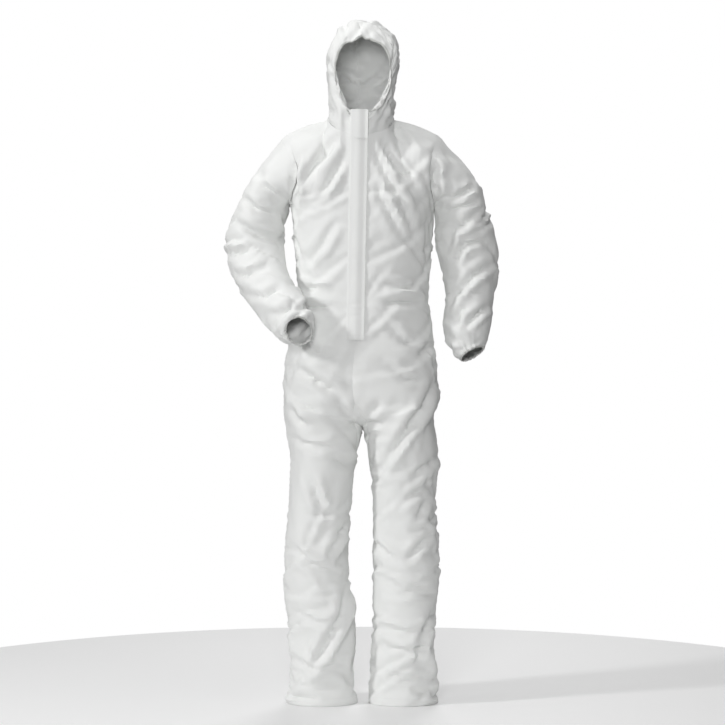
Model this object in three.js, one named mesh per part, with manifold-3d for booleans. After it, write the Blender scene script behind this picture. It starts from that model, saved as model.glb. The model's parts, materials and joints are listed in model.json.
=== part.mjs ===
// Hooded one-piece protective coverall, standing empty as if worn.
// Millimetres, +Z up, the front faces -Y, +X is the wearer's left.
import * as THREE from "three";
import { mergeVertices } from "three/addons/utils/BufferGeometryUtils.js";
import Module from "manifold-3d";

// ---------------------------------------------------------------- driving sizes
const FABRIC = 1.0; // wall of each fabric panel, and of the flaps
const SEAM = 0.5; // half of the open gap left between two sewn panels
const SUIT_HEIGHT = 1756; // hem to crown
const CROTCH_HEIGHT = 707; // hem to the lowest point of the crotch
const SHOULDER_SPAN = 394; // between the two shoulder tips
const ZIP_SLOT = 14; // clear width between the panel edges beside the zip
const TAPE_WIDTH = 12; // each half of the zip's tape
const TAPE_THICK = 0.7;
const TAPE_SET_BACK = 2.2; // behind the panels, which curve away from the zip
const COIL_WIDTH = 2.4; // each half of the closed chain
const COIL_THICK = 1.8;
const CHAIN_GAP = 1.6; // between the two halves, where the slider's post runs
const SLIDER_LENGTH = 12;
const SLIDER_WIDTH = 9;
const SLIDER_PLATE = 1.1;
const SLIDER_START = 16; // from the zip's top to the slider's middle, closed
const BRIDGE_HEIGHT = 2.2; // over the slider's front plate
const PULL_LENGTH = 26;
const PULL_WIDTH = 6.5;
const PULL_THICK = 0.9;
const FLAP_WIDTH = 44;
const FLAP_RISE = 5.2; // how far the flap arches over the slider
const FLAP_LIFT = 1.6; // flap's underside over the panels, at its edges
const CHIN_FLAP_TOP = 1517; // height that it is drawn at
const CHIN_FLAP_OVERLAP = 8; // how far it laps over the storm flap's top end
const ADHESIVE_WIDTH = 6;
const ADHESIVE_THICK = 0.4;
const ELASTIC_THICK = 0.8;
const ELASTIC_WIDTH = 6; // cuff and face elastics
const WAIST_ELASTIC_WIDTH = 12;
const ELASTIC_INSET = 1.4; // clear of the panel that the elastic is sewn into
const HEM_DEPTH = 22; // turned-up hem at each leg
const LABEL = { width: 24, height: 14, thick: 0.5 };

const FLAP_ARCH_HALF = 15; // half width of the flap's arched middle
const CHIN_FLAP_ROUND = 14; // radius of the chin flap's lower corner
const CLEARANCE = 0.4; // between pieces that lie on each other

// The suit is drawn at the sizes below, and follows the driving sizes from there.
const DRAWN = { height: 1756, crotch: 707, shoulders: 394 };
const WIDER = (SHOULDER_SPAN - DRAWN.shoulders) / 2;

// Height of a point drawn at height z.
function up(z) {
  if (z < DRAWN.crotch) return (z * CROTCH_HEIGHT) / DRAWN.crotch;
  const torso = (SUIT_HEIGHT - CROTCH_HEIGHT) / (DRAWN.height - DRAWN.crotch);
  return CROTCH_HEIGHT + (z - DRAWN.crotch) * torso;
}

// ---------------------------------------------------------------- helpers
const V = (x, y, z) => new THREE.Vector3(x, y, z);
const drawn = (x, y, z) => V(x, y, up(z)); // a point where it is drawn
const mix = (a, b, f) => a.clone().lerp(b, f);
const { clamp } = THREE.MathUtils;

// Smooth curve through evenly spaced numbers, t from 0 to count - 1. before is the
// value that would come ahead of the first, where the curve goes on past it.
function smooth(values, t, before) {
  const last = values.length - 1;
  const i = clamp(Math.floor(t), 0, last - 1);
  const f = t - i;
  const b = values[i];
  const c = values[i + 1];
  const a = i > 0 ? values[i - 1] : (before ?? 2 * b - c);
  const d = i + 2 <= last ? values[i + 2] : 2 * c - b;
  const bend = (2 * a - 5 * b + 4 * c - d) * f * f + (3 * b - a - 3 * c + d) * f * f * f;
  return 0.5 * (2 * b + (c - a) * f + bend);
}

// The same through points.
function through(points, t, before) {
  return V(
    smooth(points.map((p) => p.x), t, before?.x),
    smooth(points.map((p) => p.y), t, before?.y),
    smooth(points.map((p) => p.z), t, before?.z),
  );
}

// Maps 0..1 onto a list of knots, straight between them.
function spread(knots, f) {
  const t = f * (knots.length - 1);
  const i = clamp(Math.floor(t + 1e-9), 0, knots.length - 2);
  return knots[i] + (knots[i + 1] - knots[i]) * (t - i);
}

function evenly(from, to, steps) {
  return Array.from({ length: steps + 1 }, (_, i) => from + ((to - from) * i) / steps);
}

// Outward normal of surface(u, v); facing is 1 where u x v already points out. It is
// taken a little inside the edges, because at a corner on a seam both edges run
// along the seam.
function normalOf(surface, atU, atV, facing) {
  const h = 1e-3;
  const u = clamp(atU, 0.03, 0.97);
  const v = clamp(atV, 0.03, 0.97);
  const du = surface(u + h, v).sub(surface(u - h, v));
  const dv = surface(u, v + h).sub(surface(u, v - h));
  return du.cross(dv).normalize().multiplyScalar(facing);
}

// Splits the quads of a slab's back along the same diagonals as those of its front,
// so that the two faces can't cross where the slab is twisted.
function splitAlike(slab) {
  const corners = slab.index;
  const { start, count } = slab.groups[5];
  for (let i = start; i < start + count; i += 6) {
    const [a, b, c, d] = [i, i + 1, i + 4, i + 5].map((at) => corners.getX(at));
    [a, b, c, a, c, d].forEach((corner, n) => corners.setX(i + n, corner));
  }
}

// Closed sheet: a slab bent onto surface(u, v), u and v from 0 to 1, between two
// offsets along the outward normal.
function sheet(surface, columns, rows, facing, outer = 0, inner = -FABRIC) {
  const slab = new THREE.BoxGeometry(1, 1, 1, columns, rows, 1);
  splitAlike(slab);
  const at = slab.getAttribute("position");
  for (let i = 0; i < at.count; i += 1) {
    const u = 0.5 + facing * at.getX(i);
    const v = 0.5 + at.getY(i);
    const offset = at.getZ(i) > 0 ? outer : inner;
    const p = surface(u, v).addScaledVector(normalOf(surface, u, v, facing), offset);
    at.setXYZ(i, p.x, p.y, p.z);
  }
  slab.computeVertexNormals();
  return slab;
}

// ---------------------------------------------------------------- solids joined into one
const wasm = await Module();
wasm.setup();

function solid(geometry) {
  const bare = geometry.clone();
  bare.deleteAttribute("normal");
  bare.deleteAttribute("uv");
  const merged = mergeVertices(bare, 1e-4);
  return new wasm.Manifold(
    new wasm.Mesh({
      numProp: 3,
      vertProperties: merged.getAttribute("position").array,
      triVerts: new Uint32Array(merged.index.array),
    }),
  );
}

function join(...geometries) {
  const mesh = geometries.map(solid).reduce((a, b) => a.add(b)).getMesh();
  const geometry = new THREE.BufferGeometry();
  geometry.setAttribute("position", new THREE.BufferAttribute(new Float32Array(mesh.vertProperties), 3));
  geometry.setIndex(new THREE.BufferAttribute(new Uint32Array(mesh.triVerts), 1));
  geometry.computeVertexNormals();
  return geometry;
}

// Brings the lowest row of a panel onto the floor, so that the suit stands flat.
function levelFoot(geometry) {
  const at = geometry.getAttribute("position");
  for (let i = 0; i < at.count; i += 1) {
    if (Math.abs(at.getZ(i)) < FABRIC) at.setZ(i, 0);
  }
  return geometry;
}

const suit = new THREE.Group();

function addMesh(name, geometry, look) {
  const material = new THREE.MeshStandardMaterial(look);
  const mesh = new THREE.Mesh(geometry, material);
  mesh.name = name;
  suit.add(mesh);
  return mesh;
}

const NONWOVEN = { color: 0xe9eae8, roughness: 0.82, metalness: 0 };
const ELASTIC = { color: 0xf2f2f0, roughness: 0.9, metalness: 0 };
const TAPE = { color: 0xeeeeec, roughness: 0.85, metalness: 0 };
const NYLON = { color: 0xf0f0ee, roughness: 0.5, metalness: 0 };
const RELEASE_PAPER = { color: 0xf4f1e6, roughness: 0.45, metalness: 0 };

// ---------------------------------------------------------------- body stations
// Each station is one level of the garment from the hem to the armpits. Its half
// row runs from the inner end (inseam, or centre line above the crotch) to the
// side seam. gap is half the space between the legs, and torso goes from 0, a leg's
// half ring, to 1, a quarter of the trunk.
const HEM_TO_HIP = [
  { inner: 0, outer: 0, centre: 5, gap: 13, right: -193, left: 199, front: -76, back: 76 },
  { inner: 80, outer: 80, centre: 0, gap: 20, right: -183, left: 197, front: -72, back: 74 },
  { inner: 190, outer: 190, centre: 6, gap: 20, right: -190, left: 192, front: -77, back: 78 },
  { inner: 370, outer: 370, centre: -2, gap: 29, right: -200, left: 201, front: -84, back: 80 },
  { inner: 525, outer: 528, centre: 2, gap: 26, right: -193, left: 190, front: -92, back: 86 },
  { inner: 630, outer: 640, centre: 0, gap: 14, right: -189, left: 201, front: -104, back: 100 },
  { inner: 707, outer: 735, centre: 0, gap: 0, right: -200, left: 192, front: -120, back: 122 },
  { inner: 743, outer: 785, centre: -12, gap: 0, right: -204, left: 200, front: -132, back: 138 },
  { inner: 830, outer: 842, centre: -22, gap: 0, right: -203, left: 199, front: -139, back: 146 },
];
const WAIST_TO_ARMPIT = [
  { level: 930, right: -188, left: 189, back: 136 },
  { level: 1032, right: -163, left: 175, back: 112 },
  { level: 1150, right: -168, left: 180, back: 124 },
  { level: 1275, right: -180, left: 189, back: 138 },
];
const TORSO = [0, 0, 0, 0, 0, 0, 0, 0.7, 1]; // of each station from hem to hip
const ZIP_TOP = drawn(-4, -116, 1508);
const ZIP_BOTTOM = drawn(-15, -138, 940);

// The zip's straight line; the panels' centre front follows it.
function onZip(z) {
  return mix(ZIP_BOTTOM, ZIP_TOP, (z - ZIP_BOTTOM.z) / (ZIP_TOP.z - ZIP_BOTTOM.z));
}

const STATIONS = [
  ...HEM_TO_HIP.map(({ inner, outer, ...rest }, i) => (
    { ...rest, zIn: up(inner), zOut: up(outer), torso: TORSO[i] })),
  ...WAIST_TO_ARMPIT.map(({ level, right, left, back }) => {
    const middle = onZip(up(level));
    return {
      zIn: middle.z, zOut: middle.z, centre: middle.x, gap: 0,
      right: right - WIDER, left: left + WIDER, front: middle.y, back, torso: 1,
    };
  }),
];
const CROTCH_STATION = 6;
const ARMPIT = STATIONS.length - 1;
const TOP = ARMPIT + 3; // the rows above the armpits count three more stations
const SQUARENESS = 0.05; // how far a row bulges past an ellipse between its ends

const level = (key, t) => smooth(STATIONS.map((station) => station[key]), t);

// Point of the lower garment. side is -1 for the wearer's right and 1 for the left,
// half is "front" or "back", t the station and s 0..1 from the inner end outwards.
function lowerPoint(side, half, t, s) {
  const inner = level("centre", t) + side * Math.max(0, level("gap", t));
  const outer = level(side < 0 ? "right" : "left", t);
  const torso = clamp(level("torso", t), 0, 1);
  const depth = level(half, t) / (1 - 0.55 * torso * (1 - torso));
  const turn = Math.PI * s;
  const square = 1 + SQUARENESS * Math.sin(turn) ** 2;
  const middle = (inner + outer) / 2;
  const leg = V(middle - (middle - inner) * Math.cos(turn), depth * Math.sin(turn) * square, 0);
  const trunk = V(
    inner + (outer - inner) * Math.sin(turn / 2) * square,
    depth * Math.cos(turn / 2) * square,
    0,
  );
  const p = leg.lerp(trunk, torso);
  p.z = level("zIn", t) + (level("zOut", t) - level("zIn", t)) * Math.sin(turn / 2);
  return p;
}

// ---------------------------------------------------------------- neck, shoulders, armholes
// Neckline: half an ellipse from centre front, f = 0, past the side of the neck,
// f = 0.5, to centre back, f = 1. It rises from front to back.
const NECK_HEIGHT = up(1454);
const NECK = { half: 84, middle: 4, back: 96, side: up(1500), nape: up(1511) };
function neckline(side, f) {
  const start = onZip(NECK_HEIGHT);
  const turn = Math.PI * f;
  const ahead = Math.max(0, Math.cos(turn));
  const behind = Math.max(0, -Math.cos(turn));
  return V(
    start.x * ahead + side * NECK.half * Math.sin(turn),
    NECK.middle + (start.y - NECK.middle) * ahead + (NECK.back - NECK.middle) * behind,
    NECK.side + (start.z - NECK.side) * ahead + (NECK.nape - NECK.side) * behind,
  );
}

// Armhole from the armpit to the shoulder tip, front or back half.
function armholePoints(side, half) {
  const forward = half === "front" ? -1 : 1;
  const tipX = side * (SHOULDER_SPAN / 2) + 2;
  const pit = lowerPoint(side, half, ARMPIT, 1);
  const inset = side < 0 ? 26 : 16;
  return [
    pit,
    drawn(pit.x - side * 8, forward * 66, 1306),
    drawn(tipX - side * inset - side * 8, forward * 88, 1366),
    drawn(tipX - side * inset * 0.7, forward * 58, 1424),
    drawn(tipX, 6, 1457),
  ];
}
const armhole = (side, half, f) => through(armholePoints(side, half), f * 4);

function centreLine(half, f) {
  const low = lowerPoint(1, half, ARMPIT, 0);
  if (half === "front") return mix(low, onZip(NECK_HEIGHT), f);
  return through([low, drawn(-6, 143, 1360), drawn(-3, 130, 1440), neckline(1, 1)], f * 3);
}

// Top edge of a body panel: half the neckline, then the shoulder seam.
function topEdge(side, half, s) {
  if (s <= 0.5) return neckline(side, half === "front" ? s : 1 - s);
  const tip = armholePoints(side, half)[4];
  const crown = mix(neckline(side, 0.5), tip, s * 2 - 1);
  crown.z += 6 * Math.sin(Math.PI * (s * 2 - 1));
  return crown;
}

// Point of a body panel anywhere from the hem to the neckline.
function bodyPoint(side, half, t, s) {
  if (t <= ARMPIT) return lowerPoint(side, half, t, s);
  const f = (t - ARMPIT) / (TOP - ARMPIT);
  const eased = s * s * (3 - 2 * s);
  const across = mix(lowerPoint(side, half, ARMPIT, s), topEdge(side, half, s), f);
  const up = mix(centreLine(half, f), armhole(side, half, f), eased);
  const corners = mix(
    mix(lowerPoint(side, half, ARMPIT, 0), lowerPoint(side, half, ARMPIT, 1), eased),
    mix(topEdge(side, half, 0), topEdge(side, half, 1), eased),
    f,
  );
  return across.add(up).sub(corners);
}

// ---------------------------------------------------------------- body panels
// Crotch gusset: a diamond about the crotch, cut out of all four body panels.
const GUSSET = { reach: 1.4, width: 0.17, steps: 8 };
const gussetEdge = (t) =>
  Math.max(0, GUSSET.width * (1 - Math.abs(t - CROTCH_STATION) / GUSSET.reach));

const gussetRows = evenly(
  CROTCH_STATION - GUSSET.reach,
  CROTCH_STATION + GUSSET.reach,
  GUSSET.steps,
);
const ZIP_FOOT = 8.65; // the slot for the zip opens from here up
const WAIST = 10;
const ROWS = [
  ...evenly(0, gussetRows[0], 8).slice(0, -1),
  ...gussetRows,
  8, ZIP_FOOT, 9.3,
  ...evenly(WAIST, ARMPIT, 4),
  ...evenly(ARMPIT, TOP, 6).slice(1),
];
const COLUMN_KNOTS = [0, 0.06, 0.2, 0.34, 0.5, 0.62, 0.75, 0.88, 1];
const COLUMNS = COLUMN_KNOTS.length - 1;
const PANEL_LENGTH = 230; // a half row's rough length, which turns gaps into s

function innerInset(half, t) {
  const slot = half === "front" ? clamp((t - ZIP_FOOT) / (9.3 - ZIP_FOOT), 0, 1) : 0;
  const open = SEAM + (ZIP_SLOT / 2 - SEAM) * slot;
  return open / PANEL_LENGTH + gussetEdge(t);
}

function bodySurface(side, half) {
  const topInset = SEAM / 60;
  return (u, v) => {
    const t = Math.min(spread(ROWS, v), TOP - topInset);
    const from = innerInset(half, t);
    const to = 1 - SEAM / PANEL_LENGTH;
    return bodyPoint(side, half, t, from + (to - from) * spread(COLUMN_KNOTS, u));
  };
}

const SIDES = [
  { name: "right", side: -1 },
  { name: "left", side: 1 },
];
for (const { name, side } of SIDES) {
  for (const half of ["front", "back"]) {
    const facing = half === "front" ? side : -side;
    const panel = sheet(bodySurface(side, half), COLUMNS, ROWS.length - 1, facing);
    addMesh(`${half}_panel_${name}`, levelFoot(panel), NONWOVEN);
  }
}

// The gusset's surface: p and q run along the diamond's two pairs of edges.
function gussetPoint(u, v) {
  const shrink = 1 - (2.4 * SEAM) / 45;
  const p = (2 * u - 1) * shrink;
  const q = (2 * v - 1) * shrink;
  const sideways = (p + q) / 2;
  const backward = (p - q) / 2;
  const t = CROTCH_STATION + GUSSET.reach * (Math.abs(backward) - Math.abs(sideways));
  const s = 2 * GUSSET.width * Math.min(Math.abs(sideways), Math.abs(backward));
  return lowerPoint(sideways < 0 ? -1 : 1, backward < 0 ? "front" : "back", t, s);
}
addMesh("crotch_gusset", sheet(gussetPoint, GUSSET.steps, GUSSET.steps, 1), NONWOVEN);

// ---------------------------------------------------------------- sleeves
// Rings down each sleeve: centre, half width across the arm, half depth.
const SLEEVES = {
  right: [
    { middle: drawn(-233, 2, 1312), across: 57, deep: 77 },
    { middle: drawn(-259, 4, 1248), across: 66, deep: 70 },
    { middle: drawn(-274, 6, 1195), across: 74, deep: 68 },
    { middle: drawn(-267, -18, 1136), across: 74, deep: 64 },
    { middle: drawn(-238, -68, 1071), across: 63, deep: 57 },
    { middle: drawn(-196, -128, 1012), across: 58, deep: 50 },
    { middle: drawn(-165, -168, 968), across: 48, deep: 45 },
    { middle: drawn(-154, -196, 958), across: 32, deep: 37, along: V(0.15, -0.95, -0.25) },
  ],
  left: [
    { middle: drawn(243, 4, 1311), across: 60, deep: 77 },
    { middle: drawn(262, 10, 1250), across: 66, deep: 72 },
    { middle: drawn(272, 18, 1187), across: 76, deep: 72 },
    { middle: drawn(282, 20, 1128), across: 75, deep: 70 },
    { middle: drawn(283, 8, 1047), across: 65, deep: 64 },
    { middle: drawn(274, -12, 974), across: 61, deep: 60 },
    { middle: drawn(273, -32, 928), across: 51, deep: 52 },
    { middle: drawn(284, -46, 898), across: 33, deep: 36, along: V(0.45, -0.35, -0.82) },
  ],
};

// Point of a sleeve's ring i; turn is 0 under the arm, 0.25 in front, 0.5 outside.
function ringPoint(side, rings, i, turn) {
  if (i === 0) {
    const f = turn <= 0.5 ? turn * 2 : 2 - turn * 2;
    return armhole(side, turn <= 0.5 ? "front" : "back", f);
  }
  const ring = rings[i - 1];
  const before = i > 1 ? rings[i - 2].middle : drawn(side * 190, 0, 1366);
  const after = i < rings.length ? rings[i].middle : ring.middle;
  const along = (ring.along ?? after.clone().sub(before)).clone().normalize();
  const forward = V(0, -1, 0);
  forward.addScaledVector(along, -forward.dot(along)).normalize();
  const outward = forward.clone().cross(along).multiplyScalar(side);
  const angle = 2 * Math.PI * turn;
  return ring.middle
    .clone()
    .add(V(side * WIDER, 0, 0))
    .addScaledVector(outward, -ring.across * Math.cos(angle))
    .addScaledVector(forward, ring.deep * Math.sin(angle));
}

function sleevePoint(side, rings, turn, t) {
  const near = clamp(Math.floor(t) - 1, 0, rings.length - 3);
  const four = [0, 1, 2, 3].map((i) => ringPoint(side, rings, near + i, turn));
  return through(four, t - near);
}

const SLEEVE_COLUMNS = 12;
const SLEEVE_ROWS = 13;
for (const { name, side } of SIDES) {
  const rings = SLEEVES[name];
  const underarm = SEAM / 400;
  const end = rings.length;
  const surface = (gap, from, to) => (u, v) =>
    sleevePoint(side, rings, gap + (1 - 2 * gap) * u, from + (to - from) * v);
  const sleeve = sheet(surface(underarm, SEAM / 15, end), SLEEVE_COLUMNS, SLEEVE_ROWS, -side);
  addMesh(`sleeve_${name}`, sleeve, NONWOVEN);
  const rowPitch = 30; // rough distance between a sleeve's last rings
  const start = end - ELASTIC_WIDTH / rowPitch - 0.03;
  const face = -ELASTIC_INSET - FABRIC;
  const band = surface(4 * underarm, start, end - 0.03); // its ends stay clear of each other
  const elastic = sheet(band, SLEEVE_COLUMNS, 1, -side, face, face - ELASTIC_THICK);
  addMesh(`cuff_elastic_${name}`, elastic, ELASTIC);
}

// ---------------------------------------------------------------- leg hems, waist elastic
const RING_KNOTS = [
  SEAM / PANEL_LENGTH,
  ...COLUMN_KNOTS.slice(1),
  ...COLUMN_KNOTS.slice(1, -1).reverse().map((knot) => 2 - knot),
  2 - SEAM / PANEL_LENGTH,
];
// A ring of one leg as one surface: front half outwards, then back half inwards.
function legRing(side, fromT, toT) {
  return (u, v) => {
    const t = fromT + (toT - fromT) * v;
    const turn = spread(RING_KNOTS, u);
    return turn <= 1 ? lowerPoint(side, "front", t, turn) : lowerPoint(side, "back", t, 2 - turn);
  };
}
for (const { name, side } of SIDES) {
  const face = -ELASTIC_INSET - FABRIC;
  const perStation = STATIONS[1].zIn - STATIONS[0].zIn;
  const ring = legRing(side, 2 / perStation, (2 + HEM_DEPTH) / perStation);
  const hem = sheet(ring, 2 * COLUMNS, 1, side, face, face - ELASTIC_THICK);
  addMesh(`leg_hem_${name}`, hem, NONWOVEN);
}

const WAIST_KNOTS = COLUMN_KNOTS.slice(1, -1);
WAIST_KNOTS.unshift(...WAIST_KNOTS.map((knot) => -knot).reverse(), 0);
// The elastic across the back of the waist, from side to side.
function waistSurface(u, v) {
  const across = spread(WAIST_KNOTS, u);
  const perStation = STATIONS[WAIST + 1].zIn - STATIONS[WAIST].zIn;
  const t = WAIST + ((v - 0.5) * WAIST_ELASTIC_WIDTH) / perStation;
  return lowerPoint(across < 0 ? -1 : 1, "back", t, Math.abs(across));
}
const waistFace = -ELASTIC_INSET - FABRIC;
const waist = sheet(waistSurface, WAIST_KNOTS.length - 1, 1, -1, waistFace, waistFace - ELASTIC_THICK);
addMesh("waist_elastic", waist, ELASTIC);

// ---------------------------------------------------------------- hood
// Two panels joined by a seam over the crown. Each has five arches, from the face
// edge to the back seam, and each arch rises from the neckline to the crown seam.
function hoodArches(side) {
  const right = side < 0;
  const slot = (side * ZIP_SLOT) / 2;
  const chin = onZip(up(1500));
  const foot = neckline(side, 0);
  const arch = (f, points) => [neckline(side, f), ...points];
  const face = right
    ? [drawn(-36, -112, 1526), drawn(-66, -108, 1592), drawn(-50, -104, 1672), drawn(2, -100, 1701)]
    : [drawn(50, -112, 1526), drawn(77, -108, 1594), drawn(58, -104, 1672), drawn(2, -100, 1701)];
  const brow = right
    ? [drawn(-80, -86, 1565), drawn(-81, -76, 1640), drawn(-63, -70, 1694), drawn(-36, -64, 1727), drawn(-5, -60, 1738)]
    : [drawn(78, -88, 1560), drawn(92, -78, 1640), drawn(80, -72, 1690), drawn(44, -64, 1727), drawn(-5, -60, 1738)];
  const flank = right
    ? [drawn(-86, 0, 1572), drawn(-84, 0, 1644), drawn(-68, 0, 1702), drawn(-42, 0, 1741), drawn(-14, 0, 1755)]
    : [drawn(90, 0, 1584), drawn(100, 0, 1648), drawn(88, 0, 1701), drawn(48, 0, 1742), drawn(-14, 0, 1755)];
  const rear = right
    ? [drawn(-70, 82, 1575), drawn(-71, 84, 1640), drawn(-56, 74, 1694), drawn(-36, 56, 1732), drawn(-14, 36, 1749)]
    : [drawn(74, 82, 1575), drawn(83, 84, 1640), drawn(70, 74, 1694), drawn(36, 56, 1733), drawn(-14, 36, 1749)];
  const seam = [
    drawn(-4, 118, 1570), drawn(-9, 125, 1630), drawn(-12, 114, 1685), drawn(-13, 92, 1719), drawn(-13, 68, 1737),
  ];
  return [
    [foot, chin, ...face].map((p, i) =>
      V(p.x + (i < 2 ? slot * (1 + 0.4 * i) : 0), p.y, p.z)),
    arch(0.25, brow),
    arch(0.5, flank),
    arch(0.75, rear),
    arch(1, seam),
  ];
}

// Point of a hood panel: u from the face edge to the back seam, rise 0..5 up an arch.
function hoodPoint(side, u, rise) {
  const arches = hoodArches(side).map((arch) => through(arch, rise));
  const across = through(hoodArches(-side)[1], rise);
  const p = through(arches, 4 * u, across);
  const low = Math.max(0, 1 - rise) ** 2;
  if (low === 0) return p;
  const feet = hoodArches(side).map((arch) => arch[0]);
  const foot = through(feet, 4 * u, hoodArches(-side)[1][0]);
  const slot = (Math.max(0, 1 - 4 * u) * side * ZIP_SLOT) / 2;
  const seam = neckline(side, u).add(V(slot, 0, 0));
  return p.addScaledVector(seam.sub(foot), low);
}

const HOOD_COLUMNS = 8;
const HOOD_ROWS = 10;
function hoodSurface(side) {
  const gap = SEAM / 250;
  const foot = 2 * gap;
  const top = 1 - 12 * gap;
  const crownGap = 8 * gap * Math.max(1, SUIT_HEIGHT / DRAWN.height); // a taller hood leans in
  return (u, v) => hoodPoint(side, (1 - crownGap) * u, 5 * (foot + (top - foot) * v));
}
for (const { name, side } of SIDES) {
  const panel = sheet(hoodSurface(side), HOOD_COLUMNS, HOOD_ROWS, side);
  addMesh(`hood_panel_${name}`, panel, NONWOVEN);
}

// The face opening's elastic, one band from the chin round to the chin again.
const FACE_FROM = 0.35; // where the chin's corner lies along the face edge
function faceElasticSurface(u, v) {
  const side = u < 0.5 ? -1 : 1;
  const rise = FACE_FROM + (1 - FACE_FROM) * (1 - Math.abs(2 * u - 1));
  const band = 0.004 + (v * ELASTIC_WIDTH) / 190;
  return hoodPoint(side, band, rise * 5);
}
const faceFace = -ELASTIC_INSET - FABRIC - 0.6;
const faceElastic = sheet(faceElasticSurface, 26, 1, -1, faceFace, faceFace - ELASTIC_THICK);
addMesh("hood_face_elastic", faceElastic, ELASTIC);

// ---------------------------------------------------------------- zip
// Everything on the zip is placed in its own frame: across, outwards and up from
// the bottom end, the middle of the closed chain being the origin.
const zip = new THREE.Group();
const zipUp = ZIP_TOP.clone().sub(ZIP_BOTTOM).normalize();
const zipAcross = V(1, 0, 0).addScaledVector(zipUp, -zipUp.x).normalize();
const zipInward = zipUp.clone().cross(zipAcross).normalize();
zip.quaternion.setFromRotationMatrix(new THREE.Matrix4().makeBasis(zipAcross, zipInward, zipUp));
zip.position.copy(ZIP_BOTTOM);
suit.add(zip);
const ZIP_LENGTH = ZIP_TOP.distanceTo(ZIP_BOTTOM);

// A box of the zip's frame given by its limits: across, outwards, up.
function zipBox([x0, x1], [n0, n1], [z0, z1]) {
  const box = new THREE.BoxGeometry(x1 - x0, n1 - n0, z1 - z0);
  box.translate((x0 + x1) / 2, -(n0 + n1) / 2, (z0 + z1) / 2);
  return box;
}

function addToZip(name, geometry, look) {
  const mesh = addMesh(name, geometry, look);
  zip.add(mesh);
  return mesh;
}

const tapeFront = -FABRIC - TAPE_SET_BACK;
const coilBack = tapeFront + CLEARANCE;
const coilFront = coilBack + COIL_THICK;
for (const { name, side } of SIDES) {
  const span = (from, width) => [side * from, side * (from + width)].sort((a, b) => a - b);
  const tape = zipBox(
    span(CHAIN_GAP / 2, TAPE_WIDTH),
    [tapeFront - TAPE_THICK, tapeFront],
    [0, ZIP_LENGTH],
  );
  addToZip(`zip_tape_${name}`, tape, TAPE);
  const coil = zipBox(span(CHAIN_GAP / 2, COIL_WIDTH), [coilBack, coilFront], [8, ZIP_LENGTH - 7]);
  addToZip(`zip_coil_${name}`, coil, NYLON);
}
const chainHalf = CHAIN_GAP / 2 + COIL_WIDTH;
addToZip(
  "zip_bottom_stop",
  zipBox([-chainHalf, chainHalf], [coilBack, coilFront + 0.5], [2, 7]),
  NYLON,
);
const topStopFrom = ZIP_LENGTH - 6;
for (const { name, side } of SIDES) {
  const span = [side * (CHAIN_GAP / 2), side * chainHalf].sort((a, b) => a - b);
  const stop = zipBox(span, [coilBack, coilFront + 0.5], [topStopFrom, topStopFrom + 4]);
  addToZip(`zip_top_stop_${name}`, stop, NYLON);
}

// Slider: front and back plates, the post between the chain's two halves, and the
// bridge that the pull tab hangs from.
const sliderMiddle = ZIP_LENGTH - SLIDER_START;
const sliderEnds = [sliderMiddle - SLIDER_LENGTH / 2, sliderMiddle + SLIDER_LENGTH / 2];
const sliderSides = [-SLIDER_WIDTH / 2, SLIDER_WIDTH / 2];
const plateFront = coilFront + CLEARANCE;
const plateBack = tapeFront - TAPE_THICK - CLEARANCE;
const plateTop = plateFront + SLIDER_PLATE;
const postHalf = CHAIN_GAP / 2 - CLEARANCE;
const bridgeTop = plateTop + BRIDGE_HEIGHT;
const bridgeHalf = 1.6;
const bridgeWall = 0.8;
const frontPlate = zipBox(sliderSides, [plateFront, plateTop], sliderEnds);
const backPlate = zipBox(sliderSides, [plateBack - SLIDER_PLATE, plateBack], sliderEnds);
const post = zipBox(
  [-postHalf, postHalf],
  [plateBack - 0.2, plateFront + 0.2],
  [sliderEnds[0] + 4, sliderEnds[1] - 1],
);
const bridgeEnds = [sliderMiddle - 4.2, sliderMiddle + 4.2];
const bridgeDeck = zipBox([-bridgeHalf, bridgeHalf], [bridgeTop - bridgeWall, bridgeTop], bridgeEnds);
const bridgeFoot = (from) =>
  zipBox([-bridgeHalf, bridgeHalf], [plateTop - 0.2, bridgeTop - 0.1], [from, from + bridgeWall]);
const slider = join(
  frontPlate,
  backPlate,
  post,
  bridgeDeck,
  bridgeFoot(bridgeEnds[0]),
  bridgeFoot(bridgeEnds[1] - bridgeWall),
);
addToZip("zip_slider", slider, NYLON);

// Pull tab: a thin tab with a loop round the bridge's deck, hanging down the zip.
const pullAxis = { out: (plateTop + bridgeTop - bridgeWall) / 2, up: sliderMiddle - 2.2 };
const eyeHalf = bridgeHalf + CLEARANCE;
const pullFrom = pullAxis.up - PULL_LENGTH;
const pullFaces = [pullAxis.out - PULL_THICK / 2, pullAxis.out + PULL_THICK / 2];
const tabTop = bridgeEnds[0] - 1; // clears the deck as the tab swings up
const tab = zipBox([-PULL_WIDTH / 2, PULL_WIDTH / 2], pullFaces, [pullFrom, tabTop]);
const arm = (from) => zipBox([from, from + 1.2], pullFaces, [tabTop - 1, pullAxis.up + 0.5]);
const pinHalf = eyeHalf + 0.6;
const pin = zipBox([-pinHalf, pinHalf], pullFaces, [pullAxis.up - 0.45, pullAxis.up + 0.45]);
addToZip("zip_pull_tab", join(tab, arm(-eyeHalf - 1.2), arm(eyeHalf), pin), NYLON);

// ---------------------------------------------------------------- flaps
// A flap's section across the zip: flat on the panels at both edges, arched in the
// middle over the slider. lift raises the whole section.
const FLAP_FOOT = -4; // the storm flap's lower end, along the zip from its bottom

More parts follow.
